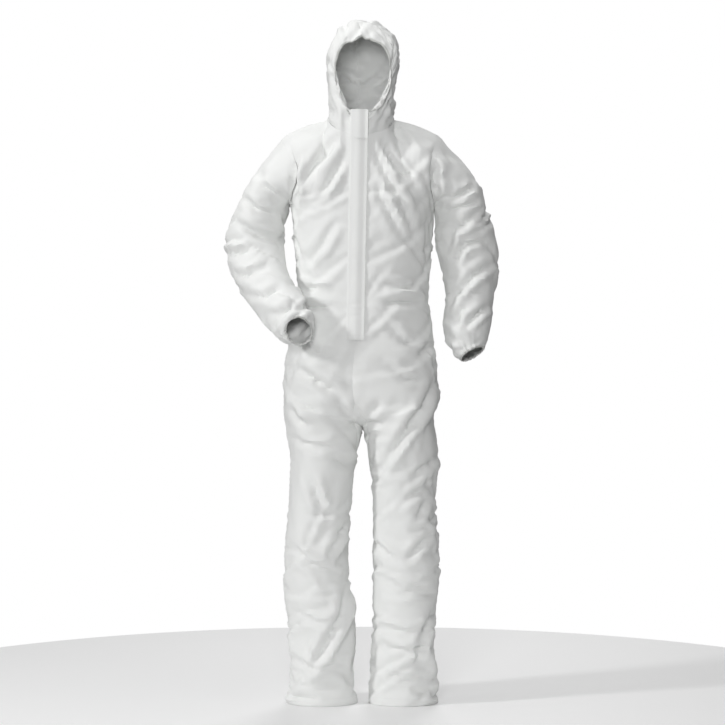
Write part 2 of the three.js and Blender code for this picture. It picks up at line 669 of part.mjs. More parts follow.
function flapSurface(from, to, lift, lowerRound) {
  return (u, v) => {
    const along = from + (to - from) * v;
    const near = clamp(1 - (v * (to - from)) / (2 * CHIN_FLAP_ROUND + 2), 0, 1);
    const left = -FLAP_WIDTH / 2 + lowerRound * (1 - Math.sqrt(1 - near * near));
    const across = left + (FLAP_WIDTH / 2 - left) * u;
    const arch = Math.cos((Math.PI * clamp(across / FLAP_ARCH_HALF, -1, 1)) / 2) ** 2;
    const out = lift + FLAP_RISE * arch;
    return V(across, -out, along);
  };
}
const zipHeight = (z) => (z - ZIP_BOTTOM.z) / zipUp.z;
const stormTop = zipHeight(NECK_HEIGHT) - 2;
const stormFlap = sheet(flapSurface(FLAP_FOOT, stormTop, FLAP_LIFT, 0), 10, 6, 1, FABRIC, 0);
addToZip("storm_flap", stormFlap, NONWOVEN);
const chinFoot = stormTop - CHIN_FLAP_OVERLAP;
const chinTop = zipHeight(up(CHIN_FLAP_TOP));
const chinLift = FLAP_LIFT + 2 * FABRIC + CLEARANCE; // the arch's sides are steeper
const chinFlap = sheet(flapSurface(chinFoot, chinTop, chinLift, CHIN_FLAP_ROUND), 10, 6, 1, FABRIC, 0);
addToZip("chin_flap", chinFlap, NONWOVEN);

// Peel-off adhesive strips under the free edge of each flap.
const adhesiveAcross = [FLAP_WIDTH / 2 - 1 - ADHESIVE_WIDTH, FLAP_WIDTH / 2 - 1];
function adhesive(from, to, lift) {
  const faces = [lift - CLEARANCE - ADHESIVE_THICK, lift - CLEARANCE];
  return zipBox(adhesiveAcross, faces, [from, to]);
}
addToZip("storm_flap_adhesive", adhesive(FLAP_FOOT + 4, chinFoot - 4, FLAP_LIFT), RELEASE_PAPER);
addToZip("chin_flap_adhesive", adhesive(stormTop + 3, chinTop - 6, chinLift), RELEASE_PAPER);

// ---------------------------------------------------------------- neck label
const label = new THREE.BoxGeometry(LABEL.width, LABEL.thick, LABEL.height);
const labelMesh = addMesh("neck_label", label, TAPE);
labelMesh.position.copy(centreLine("back", 0.86)).add(V(0, -6, 0));
labelMesh.rotation.x = 0.55;

// ---------------------------------------------------------------- origin
// The origin is the middle of the base of the whole suit's box.
suit.updateMatrixWorld(true);
const box = new THREE.Box3();
suit.traverse((piece) => {
  if (piece.isMesh) box.expandByObject(piece, true);
});
const base = box.getCenter(V(0, 0, 0));
suit.position.set(-base.x, -base.y, -box.min.z);

export default suit;
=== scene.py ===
"""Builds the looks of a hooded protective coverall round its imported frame.

The suit is one welded cloth mesh: a smooth form, pressed folds laid into it, and a
cloth simulation over a hidden form inside. It is then cut along its seams into the
sewn panels, each of which stands for its own CAD solid.
"""

import json
import math

import bmesh
import bpy
import numpy as np
from mathutils import Matrix, Vector, noise


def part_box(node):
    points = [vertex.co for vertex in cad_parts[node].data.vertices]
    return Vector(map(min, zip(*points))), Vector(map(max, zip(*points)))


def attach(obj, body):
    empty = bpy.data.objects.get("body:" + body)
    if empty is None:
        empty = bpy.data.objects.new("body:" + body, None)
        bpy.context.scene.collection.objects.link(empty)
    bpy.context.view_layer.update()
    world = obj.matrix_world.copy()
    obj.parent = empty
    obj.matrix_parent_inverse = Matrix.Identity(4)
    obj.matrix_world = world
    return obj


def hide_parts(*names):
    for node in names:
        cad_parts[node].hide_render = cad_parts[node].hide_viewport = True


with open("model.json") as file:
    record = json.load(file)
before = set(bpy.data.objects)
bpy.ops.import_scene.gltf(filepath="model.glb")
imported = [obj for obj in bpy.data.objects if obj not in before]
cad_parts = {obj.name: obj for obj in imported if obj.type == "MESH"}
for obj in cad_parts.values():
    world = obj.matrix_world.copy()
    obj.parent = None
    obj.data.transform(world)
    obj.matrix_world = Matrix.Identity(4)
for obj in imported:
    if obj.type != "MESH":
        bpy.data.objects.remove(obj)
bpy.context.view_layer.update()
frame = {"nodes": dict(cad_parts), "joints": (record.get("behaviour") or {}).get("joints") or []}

bl_info = {
    "name": "Hooded Protective Coverall",
    "version": (1, 0, 0),
    "blender": (4, 5, 0),
    "location": "View3D > Sidebar > Coverall",
    "description": "Makes a nonwoven hooded coverall, its zip, flaps and studio",
    "category": "Object",
}

# ---------------------------------------------------------------- the suit's own frame
# The pattern below is drawn in its own frame, and SHIFT carries it into the part's.
# It is read off the storm flap's hinge, which is this far from the foot of the zip.
SIDES = {"right": -1, "left": 1}
NODES = frame["nodes"]
FLAP_HINGE = Vector((-0.037596, -0.139182, 0.940483))  # in the pattern's frame
_hinge = next(j for j in frame["joints"] if j["name"] == "storm_flap_opening")
SHIFT = Vector(_hinge["pos_m"]) - FLAP_HINGE


class CoverallSizes(bpy.types.PropertyGroup):
    """Sizes of the cloth that a user would change."""

    cloth: bpy.props.FloatProperty(
        name="Cloth thickness",
        description="Thickness given to every fabric panel",
        default=0.0008,
        unit="LENGTH",
    )
    grid: bpy.props.FloatProperty(
        name="Cloth grid",
        description="Side of the squares that the cloth is simulated in",
        default=0.0115,
        unit="LENGTH",
    )
    fold_depth: bpy.props.FloatProperty(
        name="Fold depth",
        description="Scale of the pressed folds, 1 as worn",
        default=1.0,
    )
    crumple: bpy.props.FloatProperty(
        name="Crumple",
        description="Height of the small facets between the folds",
        default=0.0022,
        unit="LENGTH",
    )
    slack: bpy.props.FloatProperty(
        name="Slack",
        description="Share by which the fabric is cut larger than the form inside it",
        default=0.012,
    )
    seam_sink: bpy.props.FloatProperty(
        name="Seam sink",
        description="How far a sewn seam is drawn in",
        default=0.0012,
        unit="LENGTH",
    )


class CoverallColours(bpy.types.PropertyGroup):
    """Colours of the suit's materials."""

    fabric: bpy.props.FloatVectorProperty(
        name="Nonwoven",
        description="Colour of the nonwoven fabric",
        subtype="COLOR",
        default=(0.745, 0.75, 0.735),
    )
    elastic: bpy.props.FloatVectorProperty(
        name="Elastic",
        description="Colour of the elastics",
        subtype="COLOR",
        default=(0.82, 0.82, 0.80),
    )
    zip_nylon: bpy.props.FloatVectorProperty(
        name="Zip nylon",
        description="Colour of the coil, slider and stops",
        subtype="COLOR",
        default=(0.80, 0.80, 0.79),
    )
    release_paper: bpy.props.FloatVectorProperty(
        name="Release paper",
        description="Colour of the paper on the adhesive strips",
        subtype="COLOR",
        default=(0.80, 0.77, 0.68),
    )


def sizes():
    return bpy.context.scene.coverall_sizes


def colours():
    return bpy.context.scene.coverall_colours


# ---------------------------------------------------------------- curves
def smooth(values, t, before=None):
    """Curve through evenly spaced values (rows of an array), t from 0 to len - 1."""
    values = np.asarray(values, float)
    t = np.asarray(t, float)
    last = len(values) - 1
    i = np.clip(np.floor(t).astype(int), 0, last - 1)
    f = (t - i)[(...,) + (None,) * (values.ndim - 1)]
    head = 2 * values[0] - values[1] if before is None else np.asarray(before, float)
    row = np.concatenate([[head], values, [2 * values[-1] - values[-2]]])
    a, b, c, d = row[i], row[i + 1], row[i + 2], row[i + 3]
    bend = (2 * a - 5 * b + 4 * c - d) * f**2 + (3 * b - a - 3 * c + d) * f**3
    return 0.5 * (2 * b + (c - a) * f + bend)


def along_stack(stack, t):
    """Curve through a stack of point grids, which has one more grid beyond either end."""
    stack = np.array(stack)
    i = np.clip(np.floor(t).astype(int), 0, len(stack) - 4)
    f = column(t - i)
    grid = np.indices(i.shape)
    a, b, c, d = (stack[(i + n, *grid)] for n in range(4))
    bend = (2 * a - 5 * b + 4 * c - d) * f**2 + (3 * b - a - 3 * c + d) * f**3
    return 0.5 * (2 * b + (c - a) * f + bend)


def mix(a, b, f):
    return a + (b - a) * f


def column(x):
    return np.asarray(x, float)[..., None]


# ---------------------------------------------------------------- the pattern, in metres
# z of the inner and outer end, centre line, half gap between the legs, right and left
# side seam, depth in front and behind, and 0 for a leg's ring to 1 for the trunk's.
STATIONS = np.array([
    (0.000, 0.000, 0.005, 0.013, -0.193, 0.199, -0.076, 0.076, 0.0),
    (0.080, 0.080, 0.000, 0.020, -0.183, 0.197, -0.072, 0.074, 0.0),
    (0.190, 0.190, 0.006, 0.020, -0.190, 0.192, -0.077, 0.078, 0.0),
    (0.370, 0.370, -0.002, 0.029, -0.200, 0.201, -0.084, 0.080, 0.0),
    (0.525, 0.528, 0.002, 0.026, -0.193, 0.190, -0.092, 0.086, 0.0),
    (0.630, 0.640, 0.000, 0.014, -0.189, 0.201, -0.104, 0.100, 0.0),
    (0.707, 0.735, 0.000, 0.000, -0.200, 0.192, -0.120, 0.122, 0.0),
    (0.743, 0.785, -0.012, 0.000, -0.204, 0.200, -0.132, 0.138, 0.7),
    (0.830, 0.842, -0.022, 0.000, -0.203, 0.199, -0.139, 0.146, 1.0),
    (0.930, 0.930, -0.0152, 0.0, -0.188, 0.189, -0.1384, 0.136, 1.0),
    (1.032, 1.032, -0.0132, 0.0, -0.163, 0.175, -0.1344, 0.112, 1.0),
    (1.150, 1.150, -0.0109, 0.0, -0.168, 0.180, -0.1299, 0.124, 1.0),
    (1.275, 1.275, -0.0085, 0.0, -0.180, 0.189, -0.1250, 0.138, 1.0),
])
Z_IN, Z_OUT, CENTRE, GAP, RIGHT, LEFT, FRONT, BACK, TORSO = range(9)
CROTCH = 6
ARMPIT = len(STATIONS) - 1
TOP = ARMPIT + 3
SQUARENESS = 0.05
ZIP_TOP = np.array((-0.004, -0.116, 1.508))
ZIP_BOTTOM = np.array((-0.015, -0.138, 0.940))
ZIP_SLOT = 0.007  # half of it
PANEL_WIDTH = 0.230
NECK_HEIGHT = 1.454
NECK_HALF = 0.084
NECK_MIDDLE = 0.004
NECK_BACK = 0.096
NECK_SIDE = 1.500
NAPE = 1.511
SHOULDER_TIP = (0.197, 0.006, 1.457)
GUSSET_REACH = 1.4
GUSSET_WIDTH = 0.17


def on_zip(z):
    f = (np.asarray(z, float) - ZIP_BOTTOM[2]) / (ZIP_TOP[2] - ZIP_BOTTOM[2])
    return mix(ZIP_BOTTOM, ZIP_TOP, column(f))


def level(key, t):
    return smooth(STATIONS[:, key], t)


def lower_point(side, half, t, s):
    """Trunk and legs below the armpits: t the station, s from the middle outwards."""
    t, s = np.broadcast_arrays(np.asarray(t, float), np.asarray(s, float))
    inner = level(CENTRE, t) + side * np.maximum(0, level(GAP, t))
    outer = level(RIGHT if side < 0 else LEFT, t)
    torso = np.clip(level(TORSO, t), 0, 1)
    depth = level(FRONT if half == "front" else BACK, t) / (1 - 0.55 * torso * (1 - torso))
    turn = np.pi * s
    square = 1 + SQUARENESS * np.sin(turn) ** 2
    middle = (inner + outer) / 2
    leg_x = middle - (middle - inner) * np.cos(turn)
    leg_y = depth * np.sin(turn) * square
    trunk_x = inner + (outer - inner) * np.sin(turn / 2) * square
    trunk_y = depth * np.cos(turn / 2) * square
    z = mix(level(Z_IN, t), level(Z_OUT, t), np.sin(turn / 2))
    return np.stack([mix(leg_x, trunk_x, torso), mix(leg_y, trunk_y, torso), z], -1)


def neckline(side, f):
    """Half the neckline, from centre front, f = 0, to centre back, f = 1."""
    f = np.asarray(f, float)
    start = on_zip(NECK_HEIGHT)
    ahead = np.maximum(0, np.cos(np.pi * f))
    behind = np.maximum(0, -np.cos(np.pi * f))
    x = start[0] * ahead + side * NECK_HALF * np.sin(np.pi * f)
    y = NECK_MIDDLE + (start[1] - NECK_MIDDLE) * ahead + (NECK_BACK - NECK_MIDDLE) * behind
    z = NECK_SIDE + (start[2] - NECK_SIDE) * ahead + (NAPE - NECK_SIDE) * behind
    return np.stack([x, y, z], -1)


def armhole(side, half, f):
    """From the armpit, f = 0, to the shoulder's tip, f = 1."""
    forward = -1 if half == "front" else 1
    tip_x = side * SHOULDER_TIP[0] + 0.002
    pit = lower_point(side, half, ARMPIT, 1.0)
    inset = 0.026 if side < 0 else 0.016
    points = [
        pit,
        (pit[0] - side * 0.008, forward * 0.066, 1.306),
        (tip_x - side * (inset + 0.008), forward * 0.088, 1.366),
        (tip_x - side * inset * 0.7, forward * 0.058, 1.424),
        (tip_x, SHOULDER_TIP[1], SHOULDER_TIP[2]),
    ]
    return smooth(points, np.asarray(f, float) * 4)


def centre_line(half, f):
    low = lower_point(1, half, ARMPIT, 0.0)
    if half == "front":
        return mix(low, on_zip(NECK_HEIGHT), column(f))
    points = [low, (-0.006, 0.143, 1.360), (-0.003, 0.130, 1.440), neckline(1, 1.0)]
    return smooth(points, np.asarray(f, float) * 3)


def top_edge(side, half, s):
    """Half the neckline, then the shoulder seam out to its tip."""
    s = np.asarray(s, float)
    low = np.minimum(s, 0.5)
    neck = neckline(side, low if half == "front" else 1 - low)
    f = np.maximum(0, s * 2 - 1)
    seam = mix(neckline(side, 0.5), armhole(side, half, 1.0), column(f))
    seam[..., 2] += 0.006 * np.sin(np.pi * f)
    return np.where(column(s) <= 0.5, neck, seam)


def body_point(side, half, t, s):
    t, s = np.broadcast_arrays(np.asarray(t, float), np.asarray(s, float))
    low = lower_point(side, half, np.minimum(t, ARMPIT), s)
    f = np.clip((t - ARMPIT) / (TOP - ARMPIT), 0, 1)
    eased = column(s * s * (3 - 2 * s))
    g = column(f)
    base = lower_point(side, half, ARMPIT, s)
    across = mix(base, top_edge(side, half, s), g)
    up = mix(centre_line(half, f), armhole(side, half, f), eased)
    ends = [lower_point(side, half, ARMPIT, e) for e in (0.0, 1.0)]
    tops = [top_edge(side, half, e) for e in (0.0, 1.0)]
    corners = mix(mix(ends[0], ends[1], eased), mix(tops[0], tops[1], eased), g)
    return np.where(column(t) > ARMPIT, across + up - corners, low)


# centre of each ring down the sleeve, its half width across and half depth
SLEEVES = {
    "right": [
        ((-0.233, 0.002, 1.312), 0.057, 0.077),
        ((-0.259, 0.004, 1.248), 0.066, 0.070),
        ((-0.274, 0.006, 1.195), 0.074, 0.068),
        ((-0.267, -0.018, 1.136), 0.074, 0.064),
        ((-0.238, -0.068, 1.071), 0.063, 0.057),
        ((-0.196, -0.128, 1.012), 0.058, 0.050),
        ((-0.165, -0.168, 0.968), 0.048, 0.045),
        ((-0.154, -0.196, 0.958), 0.032, 0.037),
    ],
    "left": [
        ((0.243, 0.004, 1.311), 0.060, 0.077),
        ((0.262, 0.010, 1.250), 0.066, 0.072),
        ((0.272, 0.018, 1.187), 0.076, 0.072),
        ((0.282, 0.020, 1.128), 0.075, 0.070),
        ((0.283, 0.008, 1.047), 0.065, 0.064),
        ((0.274, -0.012, 0.974), 0.061, 0.060),
        ((0.273, -0.032, 0.928), 0.051, 0.052),
        ((0.284, -0.046, 0.898), 0.033, 0.036),
    ],
}
CUFF_AIM = {"right": (0.15, -0.95, -0.25), "left": (0.45, -0.35, -0.82)}


def ring_point(name, i, turn):
    side = SIDES[name]
    rings = SLEEVES[name]
    turn = np.asarray(turn, float)
    if i == 0:
        f = np.where(turn <= 0.5, turn * 2, 2 - turn * 2)
        front, back = armhole(side, "front", f), armhole(side, "back", f)
        return np.where(column(turn) <= 0.5, front, back)
    at, across, deep = rings[i - 1]
    at = np.array(at)
    before = np.array(rings[i - 2][0] if i > 1 else (side * 0.190, 0.0, 1.366))
    after = np.array(rings[i][0] if i < len(rings) else at)
    along = np.array(CUFF_AIM[name]) if i == len(rings) else after - before
    along = along / np.linalg.norm(along)
    forward = np.array((0.0, -1.0, 0.0))
    forward = forward - along * forward.dot(along)
    forward = forward / np.linalg.norm(forward)
    outward = np.cross(forward, along) * side
    angle = 2 * np.pi * turn
    return at - column(np.cos(angle)) * outward * across + column(np.sin(angle)) * forward * deep


def sleeve_point(name, turn, t):
    """turn goes round from the underarm seam by way of the front, t down the rings."""
    turn, t = np.broadcast_arrays(np.asarray(turn, float), np.asarray(t, float))
    rings = np.stack([ring_point(name, i, turn) for i in range(len(SLEEVES[name]) + 1)])
    return along_stack([2 * rings[0] - rings[1], *rings, 2 * rings[-1] - rings[-2]], t)


HOOD_FACE = {
    "right": [(-0.036, -0.112, 1.526), (-0.066, -0.108, 1.592), (-0.050, -0.104, 1.672)],
    "left": [(0.050, -0.112, 1.526), (0.077, -0.108, 1.594), (0.058, -0.104, 1.672)],
}
FOREHEAD = (0.002, -0.100, 1.701)
HOOD_ARCHES = {
    "right": [
        [(-0.080, -0.086, 1.565), (-0.081, -0.076, 1.640), (-0.063, -0.070, 1.694), (-0.036, -0.064, 1.727)],
        [(-0.086, 0.000, 1.572), (-0.084, 0.000, 1.644), (-0.068, 0.000, 1.702), (-0.042, 0.000, 1.741)],
        [(-0.070, 0.082, 1.575), (-0.071, 0.084, 1.640), (-0.056, 0.074, 1.694), (-0.036, 0.056, 1.732)],
    ],
    "left": [
        [(0.078, -0.088, 1.560), (0.092, -0.078, 1.640), (0.080, -0.072, 1.690), (0.044, -0.064, 1.727)],
        [(0.090, 0.000, 1.584), (0.100, 0.000, 1.648), (0.088, 0.000, 1.701), (0.048, 0.000, 1.742)],
        [(0.074, 0.082, 1.575), (0.083, 0.084, 1.640), (0.070, 0.074, 1.694), (0.036, 0.056, 1.733)],
    ],
}
CROWN = [(-0.005, -0.060, 1.738), (-0.014, 0.000, 1.755), (-0.014, 0.036, 1.749)]
BACK_SEAM = [
    (-0.004, 0.118, 1.570), (-0.009, 0.125, 1.630), (-0.012, 0.114, 1.685),
    (-0.013, 0.092, 1.719), (-0.013, 0.068, 1.737),
]


def hood_arches(name):
    side = SIDES[name]
    feet = neckline(side, np.arange(5) / 4)
    arches = [[feet[0], on_zip(1.500), *HOOD_FACE[name], FOREHEAD]]
    for i, arch in enumerate(HOOD_ARCHES[name]):
        arches.append([feet[i + 1], *arch, CROWN[i]])
    arches.append([feet[4], *BACK_SEAM])
    return np.array(arches, float)


def hood_point(name, u, rise):
    """u from the face edge to the back seam, rise 0 to 5 from neckline to crown."""
    u, rise = np.broadcast_arrays(np.asarray(u, float), np.asarray(rise, float))
    other = "left" if name == "right" else "right"
    net = hood_arches(name)
    beyond = smooth(hood_arches(other)[1], rise)
    arches = np.stack([smooth(arch, rise) for arch in net])
    at = 4 * u
    p = along_stack([beyond, *arches, 2 * arches[-1] - arches[-2]], at)
    feet = smooth(net[:, 0], at, hood_arches(other)[1][0])
    p += (neckline(SIDES[name], u) - feet) * column(np.maximum(0, 1 - rise) ** 2)
    straight = mix(net[0][0], net[0][1], column(np.minimum(rise, 1)))
    pull = np.where(rise <= 1, np.maximum(0, 1 - at) ** 2, 0)
    p += (straight - arches[0]) * column(pull)
    return p


# ---------------------------------------------------------------- the cloth as grids
# The body, sleeves and hood are grids whose edges coincide along the seams, so that one
# welded mesh can be simulated and each grid then gives its own sewn panel.
COLUMNS = 22
ARMHOLE_ROWS = 20
SLEEVE_ROWS = 52
SLEEVE_COLUMNS = 2 * ARMHOLE_ROWS
HOOD_ROWS = 30
HOOD_STEPS = 6  # rows to each of the hood's five rises


def body_rows():
    rows = [0.0]
    for i in range(ARMPIT):
        steps = max(3, round((STATIONS[i + 1, Z_OUT] - STATIONS[i, Z_OUT]) / sizes().grid))
        rows += [i + (n + 1) / steps for n in range(steps)]
    return np.array(rows + [ARMPIT + 3 * (n + 1) / ARMHOLE_ROWS for n in range(ARMHOLE_ROWS)])


class Patch:
    """A rectangular grid of the cloth: its rest shape and how far each point has moved."""

    def __init__(self, name, shape, rows, columns, wraps=False):
        self.name = name
        self.shape = shape
        self.rows = np.asarray(rows, float)
        self.columns = np.asarray(columns, float)
        self.wraps = wraps
        r, c = np.meshgrid(self.rows, self.columns, indexing="ij")
        self.points = shape(r, c)
        self.moved = np.zeros_like(self.points)

    def at(self, r, c):
        """Place of the moved cloth at row value r and column value c, two equal arrays."""
        i = np.interp(r, self.rows, np.arange(len(self.rows)))
        j = np.interp(c, self.columns, np.arange(len(self.columns)))
        return self.shape(r, c) + self.sample(i, j)

    def sample(self, i, j):
        total = 0
        i0 = np.clip(np.floor(i).astype(int), 0, len(self.rows) - 2)
        j0 = np.clip(np.floor(j).astype(int), 0, len(self.columns) - 2)
        wi, wj = spline_weights(i - i0), spline_weights(j - j0)
        for a in range(4):
            row = np.clip(i0 + a - 1, 0, len(self.rows) - 1)
            for b in range(4):
                col = j0 + b - 1
                if self.wraps:
                    col = col % (len(self.columns) - 1)
                else:
                    col = np.clip(col, 0, len(self.columns) - 1)
                total = total + self.moved[row, col] * column(wi[a] * wj[b])
        return total


def spline_weights(f):
    return (
        0.5 * (-f + 2 * f**2 - f**3),
        0.5 * (2 - 5 * f**2 + 3 * f**3),
        0.5 * (f + 4 * f**2 - 3 * f**3),
        0.5 * (-(f**2) + f**3),
    )


def make_patches():
    patches = {}
    s = np.arange(COLUMNS + 1) / COLUMNS
    for name, side in SIDES.items():
        for half in ("front", "back"):
            def body(t, s, side=side, half=half):
                return body_point(side, half, t, s)
            key = f"{half}_{name}"
            patches[key] = Patch(key, body, body_rows(), s)

        def sleeve(t, turn, name=name):
            return sleeve_point(name, turn, t)
        rings = len(SLEEVES[name])
        rows = np.linspace(0, rings, SLEEVE_ROWS + 1)
        turns = np.arange(SLEEVE_COLUMNS + 1) / SLEEVE_COLUMNS
        patches[f"sleeve_{name}"] = Patch(f"sleeve_{name}", sleeve, rows, turns, True)

        def hood(rise, u, name=name):
            return hood_point(name, u, rise)
        rises = np.arange(HOOD_ROWS + 1) / HOOD_STEPS
        patches[f"hood_{name}"] = Patch(f"hood_{name}", hood, rises, s)
    return patches


def facing(patch):
    """1 where rows x columns of the grid gives the outward side, else -1."""
    side = SIDES[patch.split("_")[1]]
    return -side if patch.startswith(("front", "hood")) else side


def grid_normals(points, sign):
    """Outward normals of a grid of points, by central differences."""
    along = np.gradient(points, axis=0)
    across = np.gradient(points, axis=1)
    n = np.cross(along, across) * sign
    size = np.linalg.norm(n, axis=-1, keepdims=True)
    return n / np.maximum(size, 1e-12)


def weld(patches):
    """(points, quads, index of each patch's points) of all grids as one mesh."""
    stacked = np.concatenate([p.points.reshape(-1, 3) for p in patches.values()])
    keys = np.round(stacked / 5e-5).astype(np.int64)
    found, index, count = {}, np.zeros(len(stacked), int), 0
    for n, key in enumerate(map(tuple, keys)):
        near = [
            (key[0] + a, key[1] + b, key[2] + c)
            for a in (0, -1, 1) for b in (0, -1, 1) for c in (0, -1, 1)
        ]
        hit = next((found[k] for k in near if k in found), None)
        if hit is None:
            hit = count
            found[key] = count
            count += 1
        index[n] = hit
    points = np.zeros((count, 3))
    points[index] = stacked
    quads, places, start = [], {}, 0
    for name, p in patches.items():
        rows, columns = p.points.shape[:2]
        ids = index[start:start + rows * columns].reshape(rows, columns)
        start += rows * columns
        places[name] = ids
        q = np.stack([ids[:-1, :-1], ids[:-1, 1:], ids[1:, 1:], ids[1:, :-1]], -1).reshape(-1, 4)
        if facing(name) > 0:
            q = q[:, ::-1]
        quads.append(q)
    return points, np.concatenate(quads), places


# ---------------------------------------------------------------- pressed folds
# Depth and half width in mm, then the line that the fold follows, as (x, z) in mm.
FRONT_FOLDS = [
    (7, 10, [(-51, 1454), (-98, 1392), (-151, 1318)]),
    (6, 9, [(-33, 1403), (-70, 1350), (-108, 1290)]),
    (5, 9, [(15, 1452), (46, 1388), (79, 1313), (102, 1288), (138, 1183)]),
    (5, 9, [(38, 1454), (82, 1388), (141, 1329)]),
    (4, 8, [(77, 1475), (133, 1423)]),
    (5, 9, [(41, 1347), (51, 1293), (100, 1203)]),
    (5, 8, [(-159, 1400), (-168, 1340), (-159, 1280)]),
    (6, 9, [(189, 1413), (184, 1370), (189, 1298)]),
    (9, 12, [(-172, 868), (-120, 842), (-44, 794)]),
    (6, 9, [(-184, 771), (-141, 719)]),
    (5, 8, [(177, 924), (146, 899)]),
    (8, 10, [(192, 842), (161, 776), (113, 709), (59, 627), (38, 584)]),
    (6, 9, [(200, 643), (154, 614), (123, 579)]),
    (5, 9, [(177, 566), (133, 550), (90, 517)]),
    (5, 8, [(169, 535), (133, 474)]),
    (5, 9, [(177, 448), (115, 381)]),
    (5, 9, [(28, 425), (84, 379)]),
    (4, 7, [(-60, 730), (-30, 724), (-8, 728)]),
    (4, 7, [(60, 730), (30, 724), (8, 728)]),
    (6, 10, [(-133, 596), (-97, 504)]),
    (6, 12, [(-76, 640), (-18, 622)]),
    (5, 9, [(-38, 474), (-87, 381)]),
    (8, 11, [(-33, 325), (-49, 243), (-102, 143), (-156, 61)]),
    (5, 9, [(40, 206), (110, 196), (176, 204)]),
    (5, 8, [(52, 155), (120, 146), (184, 154)]),
    (7, 9, [(179, 233), (148, 171), (143, 102)]),
    (6, 10, [(-190, 1010), (-120, 1022), (-60, 1012)]),
    (6, 10, [(50, 1022), (110, 1034), (166, 1032)]),
    (4, 8, [(60, 1078), (120, 1066), (172, 1050)]),
    (4, 8, [(-172, 1076), (-120, 1064), (-70, 1060)]),
    (5, 10, [(-60, 1240), (-100, 1170), (-150, 1120)]),
    (5, 9, [(-160, 950), (-110, 905), (-60, 890)]),
    (4, 9, [(60, 980), (110, 930), (170, 900)]),
    (4, 9, [(50, 880), (110, 840), (160, 836)]),
    (4, 8, [(-180, 690), (-120, 668), (-60, 676)]),
    (5, 9, [(-178, 420), (-130, 372), (-70, 352)]),
    (4, 8, [(-160, 240), (-110, 214), (-60, 220)]),
    (4, 8, [(-170, 120), (-120, 96), (-60, 110)]),
    (4, 9, [(60, 330), (110, 300), (170, 320)]),
    (4, 8, [(50, 90), (110, 70), (170, 84)]),
    (4, 9, [(-56, 781), (-44, 766), (-31, 747)]),
    (4, 9, [(46, 781), (32, 764), (18, 747)]),
    (6, 9, [(-320, 1239), (-261, 1203), (-202, 1183)]),
    (6, 9, [(-348, 1155), (-310, 1158), (-271, 1167)]),
    (6, 9, [(-330, 1100), (-280, 1102), (-230, 1126)]),
    (5, 8, [(-290, 1050), (-240, 1046), (-200, 1072)]),
    (5, 8, [(-240, 1000), (-205, 1004), (-170, 1030)]),
    (6, 9, [(-300, 1300), (-262, 1262), (-214, 1250)]),
    (5, 8, [(-262, 1366), (-240, 1320), (-206, 1296)]),
    (6, 9, [(300, 1257), (266, 1228), (233, 1208), (225, 1165)]),
    (6, 8, [(312, 1185), (264, 1172), (238, 1124)]),
    (7, 9, [(346, 1129), (292, 1098), (238, 1044), (225, 1014)]),
    (6, 8, [(335, 1021), (300, 1004), (264, 968)]),
    (5, 7, [(282, 1019), (251, 1009), (243, 968)]),
    (5, 8, [(288, 1330), (252, 1300), (214, 1290)]),
]
BACK_FOLDS = [
    (7, 12, [(-150, 1340), (-90, 1280), (-30, 1250)]),
    (7, 12, [(152, 1350), (96, 1290), (30, 1262)]),
    (6, 11, [(-60, 1440), (-110, 1380), (-140, 1330)]),
    (6, 11, [(70, 1440), (118, 1384), (150, 1330)]),
    (6, 10, [(-140, 1190), (-70, 1150), (-10, 1140)]),
    (6, 10, [(150, 1180), (80, 1146), (16, 1128)]),
    (8, 12, [(-170, 830), (-100, 800), (-30, 760)]),
    (8, 12, [(168, 836), (104, 798), (32, 752)]),
    (7, 11, [(-180, 900), (-110, 880), (-40, 884)]),
    (6, 11, [(176, 910), (110, 884), (40, 880)]),
    (7, 10, [(-22, 820), (-24, 770), (-8, 720)]),
    (7, 10, [(-170, 700), (-110, 664), (-50, 650)]),
    (7, 10, [(170, 694), (112, 662), (54, 640)]),
    (7, 10, [(-180, 470), (-110, 440), (-50, 452)]),
    (6, 10, [(-170, 420), (-110, 404), (-60, 398)]),
    (7, 10, [(180, 476), (118, 446), (58, 448)]),
    (6, 10, [(172, 418), (116, 396), (62, 400)]),
    (6, 9, [(-160, 250), (-100, 214), (-50, 190)]),
    (6, 9, [(160, 240), (104, 206), (52, 196)]),
    (5, 8, [(-170, 110), (-110, 92), (-50, 104)]),
    (5, 8, [(170, 120), (110, 96), (50, 100)]),
    (5, 8, [(-320, 1180), (-262, 1160), (-206, 1150)]),
    (5, 8, [(-310, 1120), (-262, 1120), (-216, 1110)]),
    (5, 8, [(330, 1160), (280, 1150), (228, 1140)]),
    (5, 8, [(336, 1080), (284, 1070), (232, 1064)]),
    (5, 8, [(-60, 1640), (-30, 1610), (0, 1600)]),
    (5, 8, [(70, 1650), (34, 1616), (4, 1600)]),
]


FOLD_GAIN = 2.3  # allows for what the drape takes out of a fold


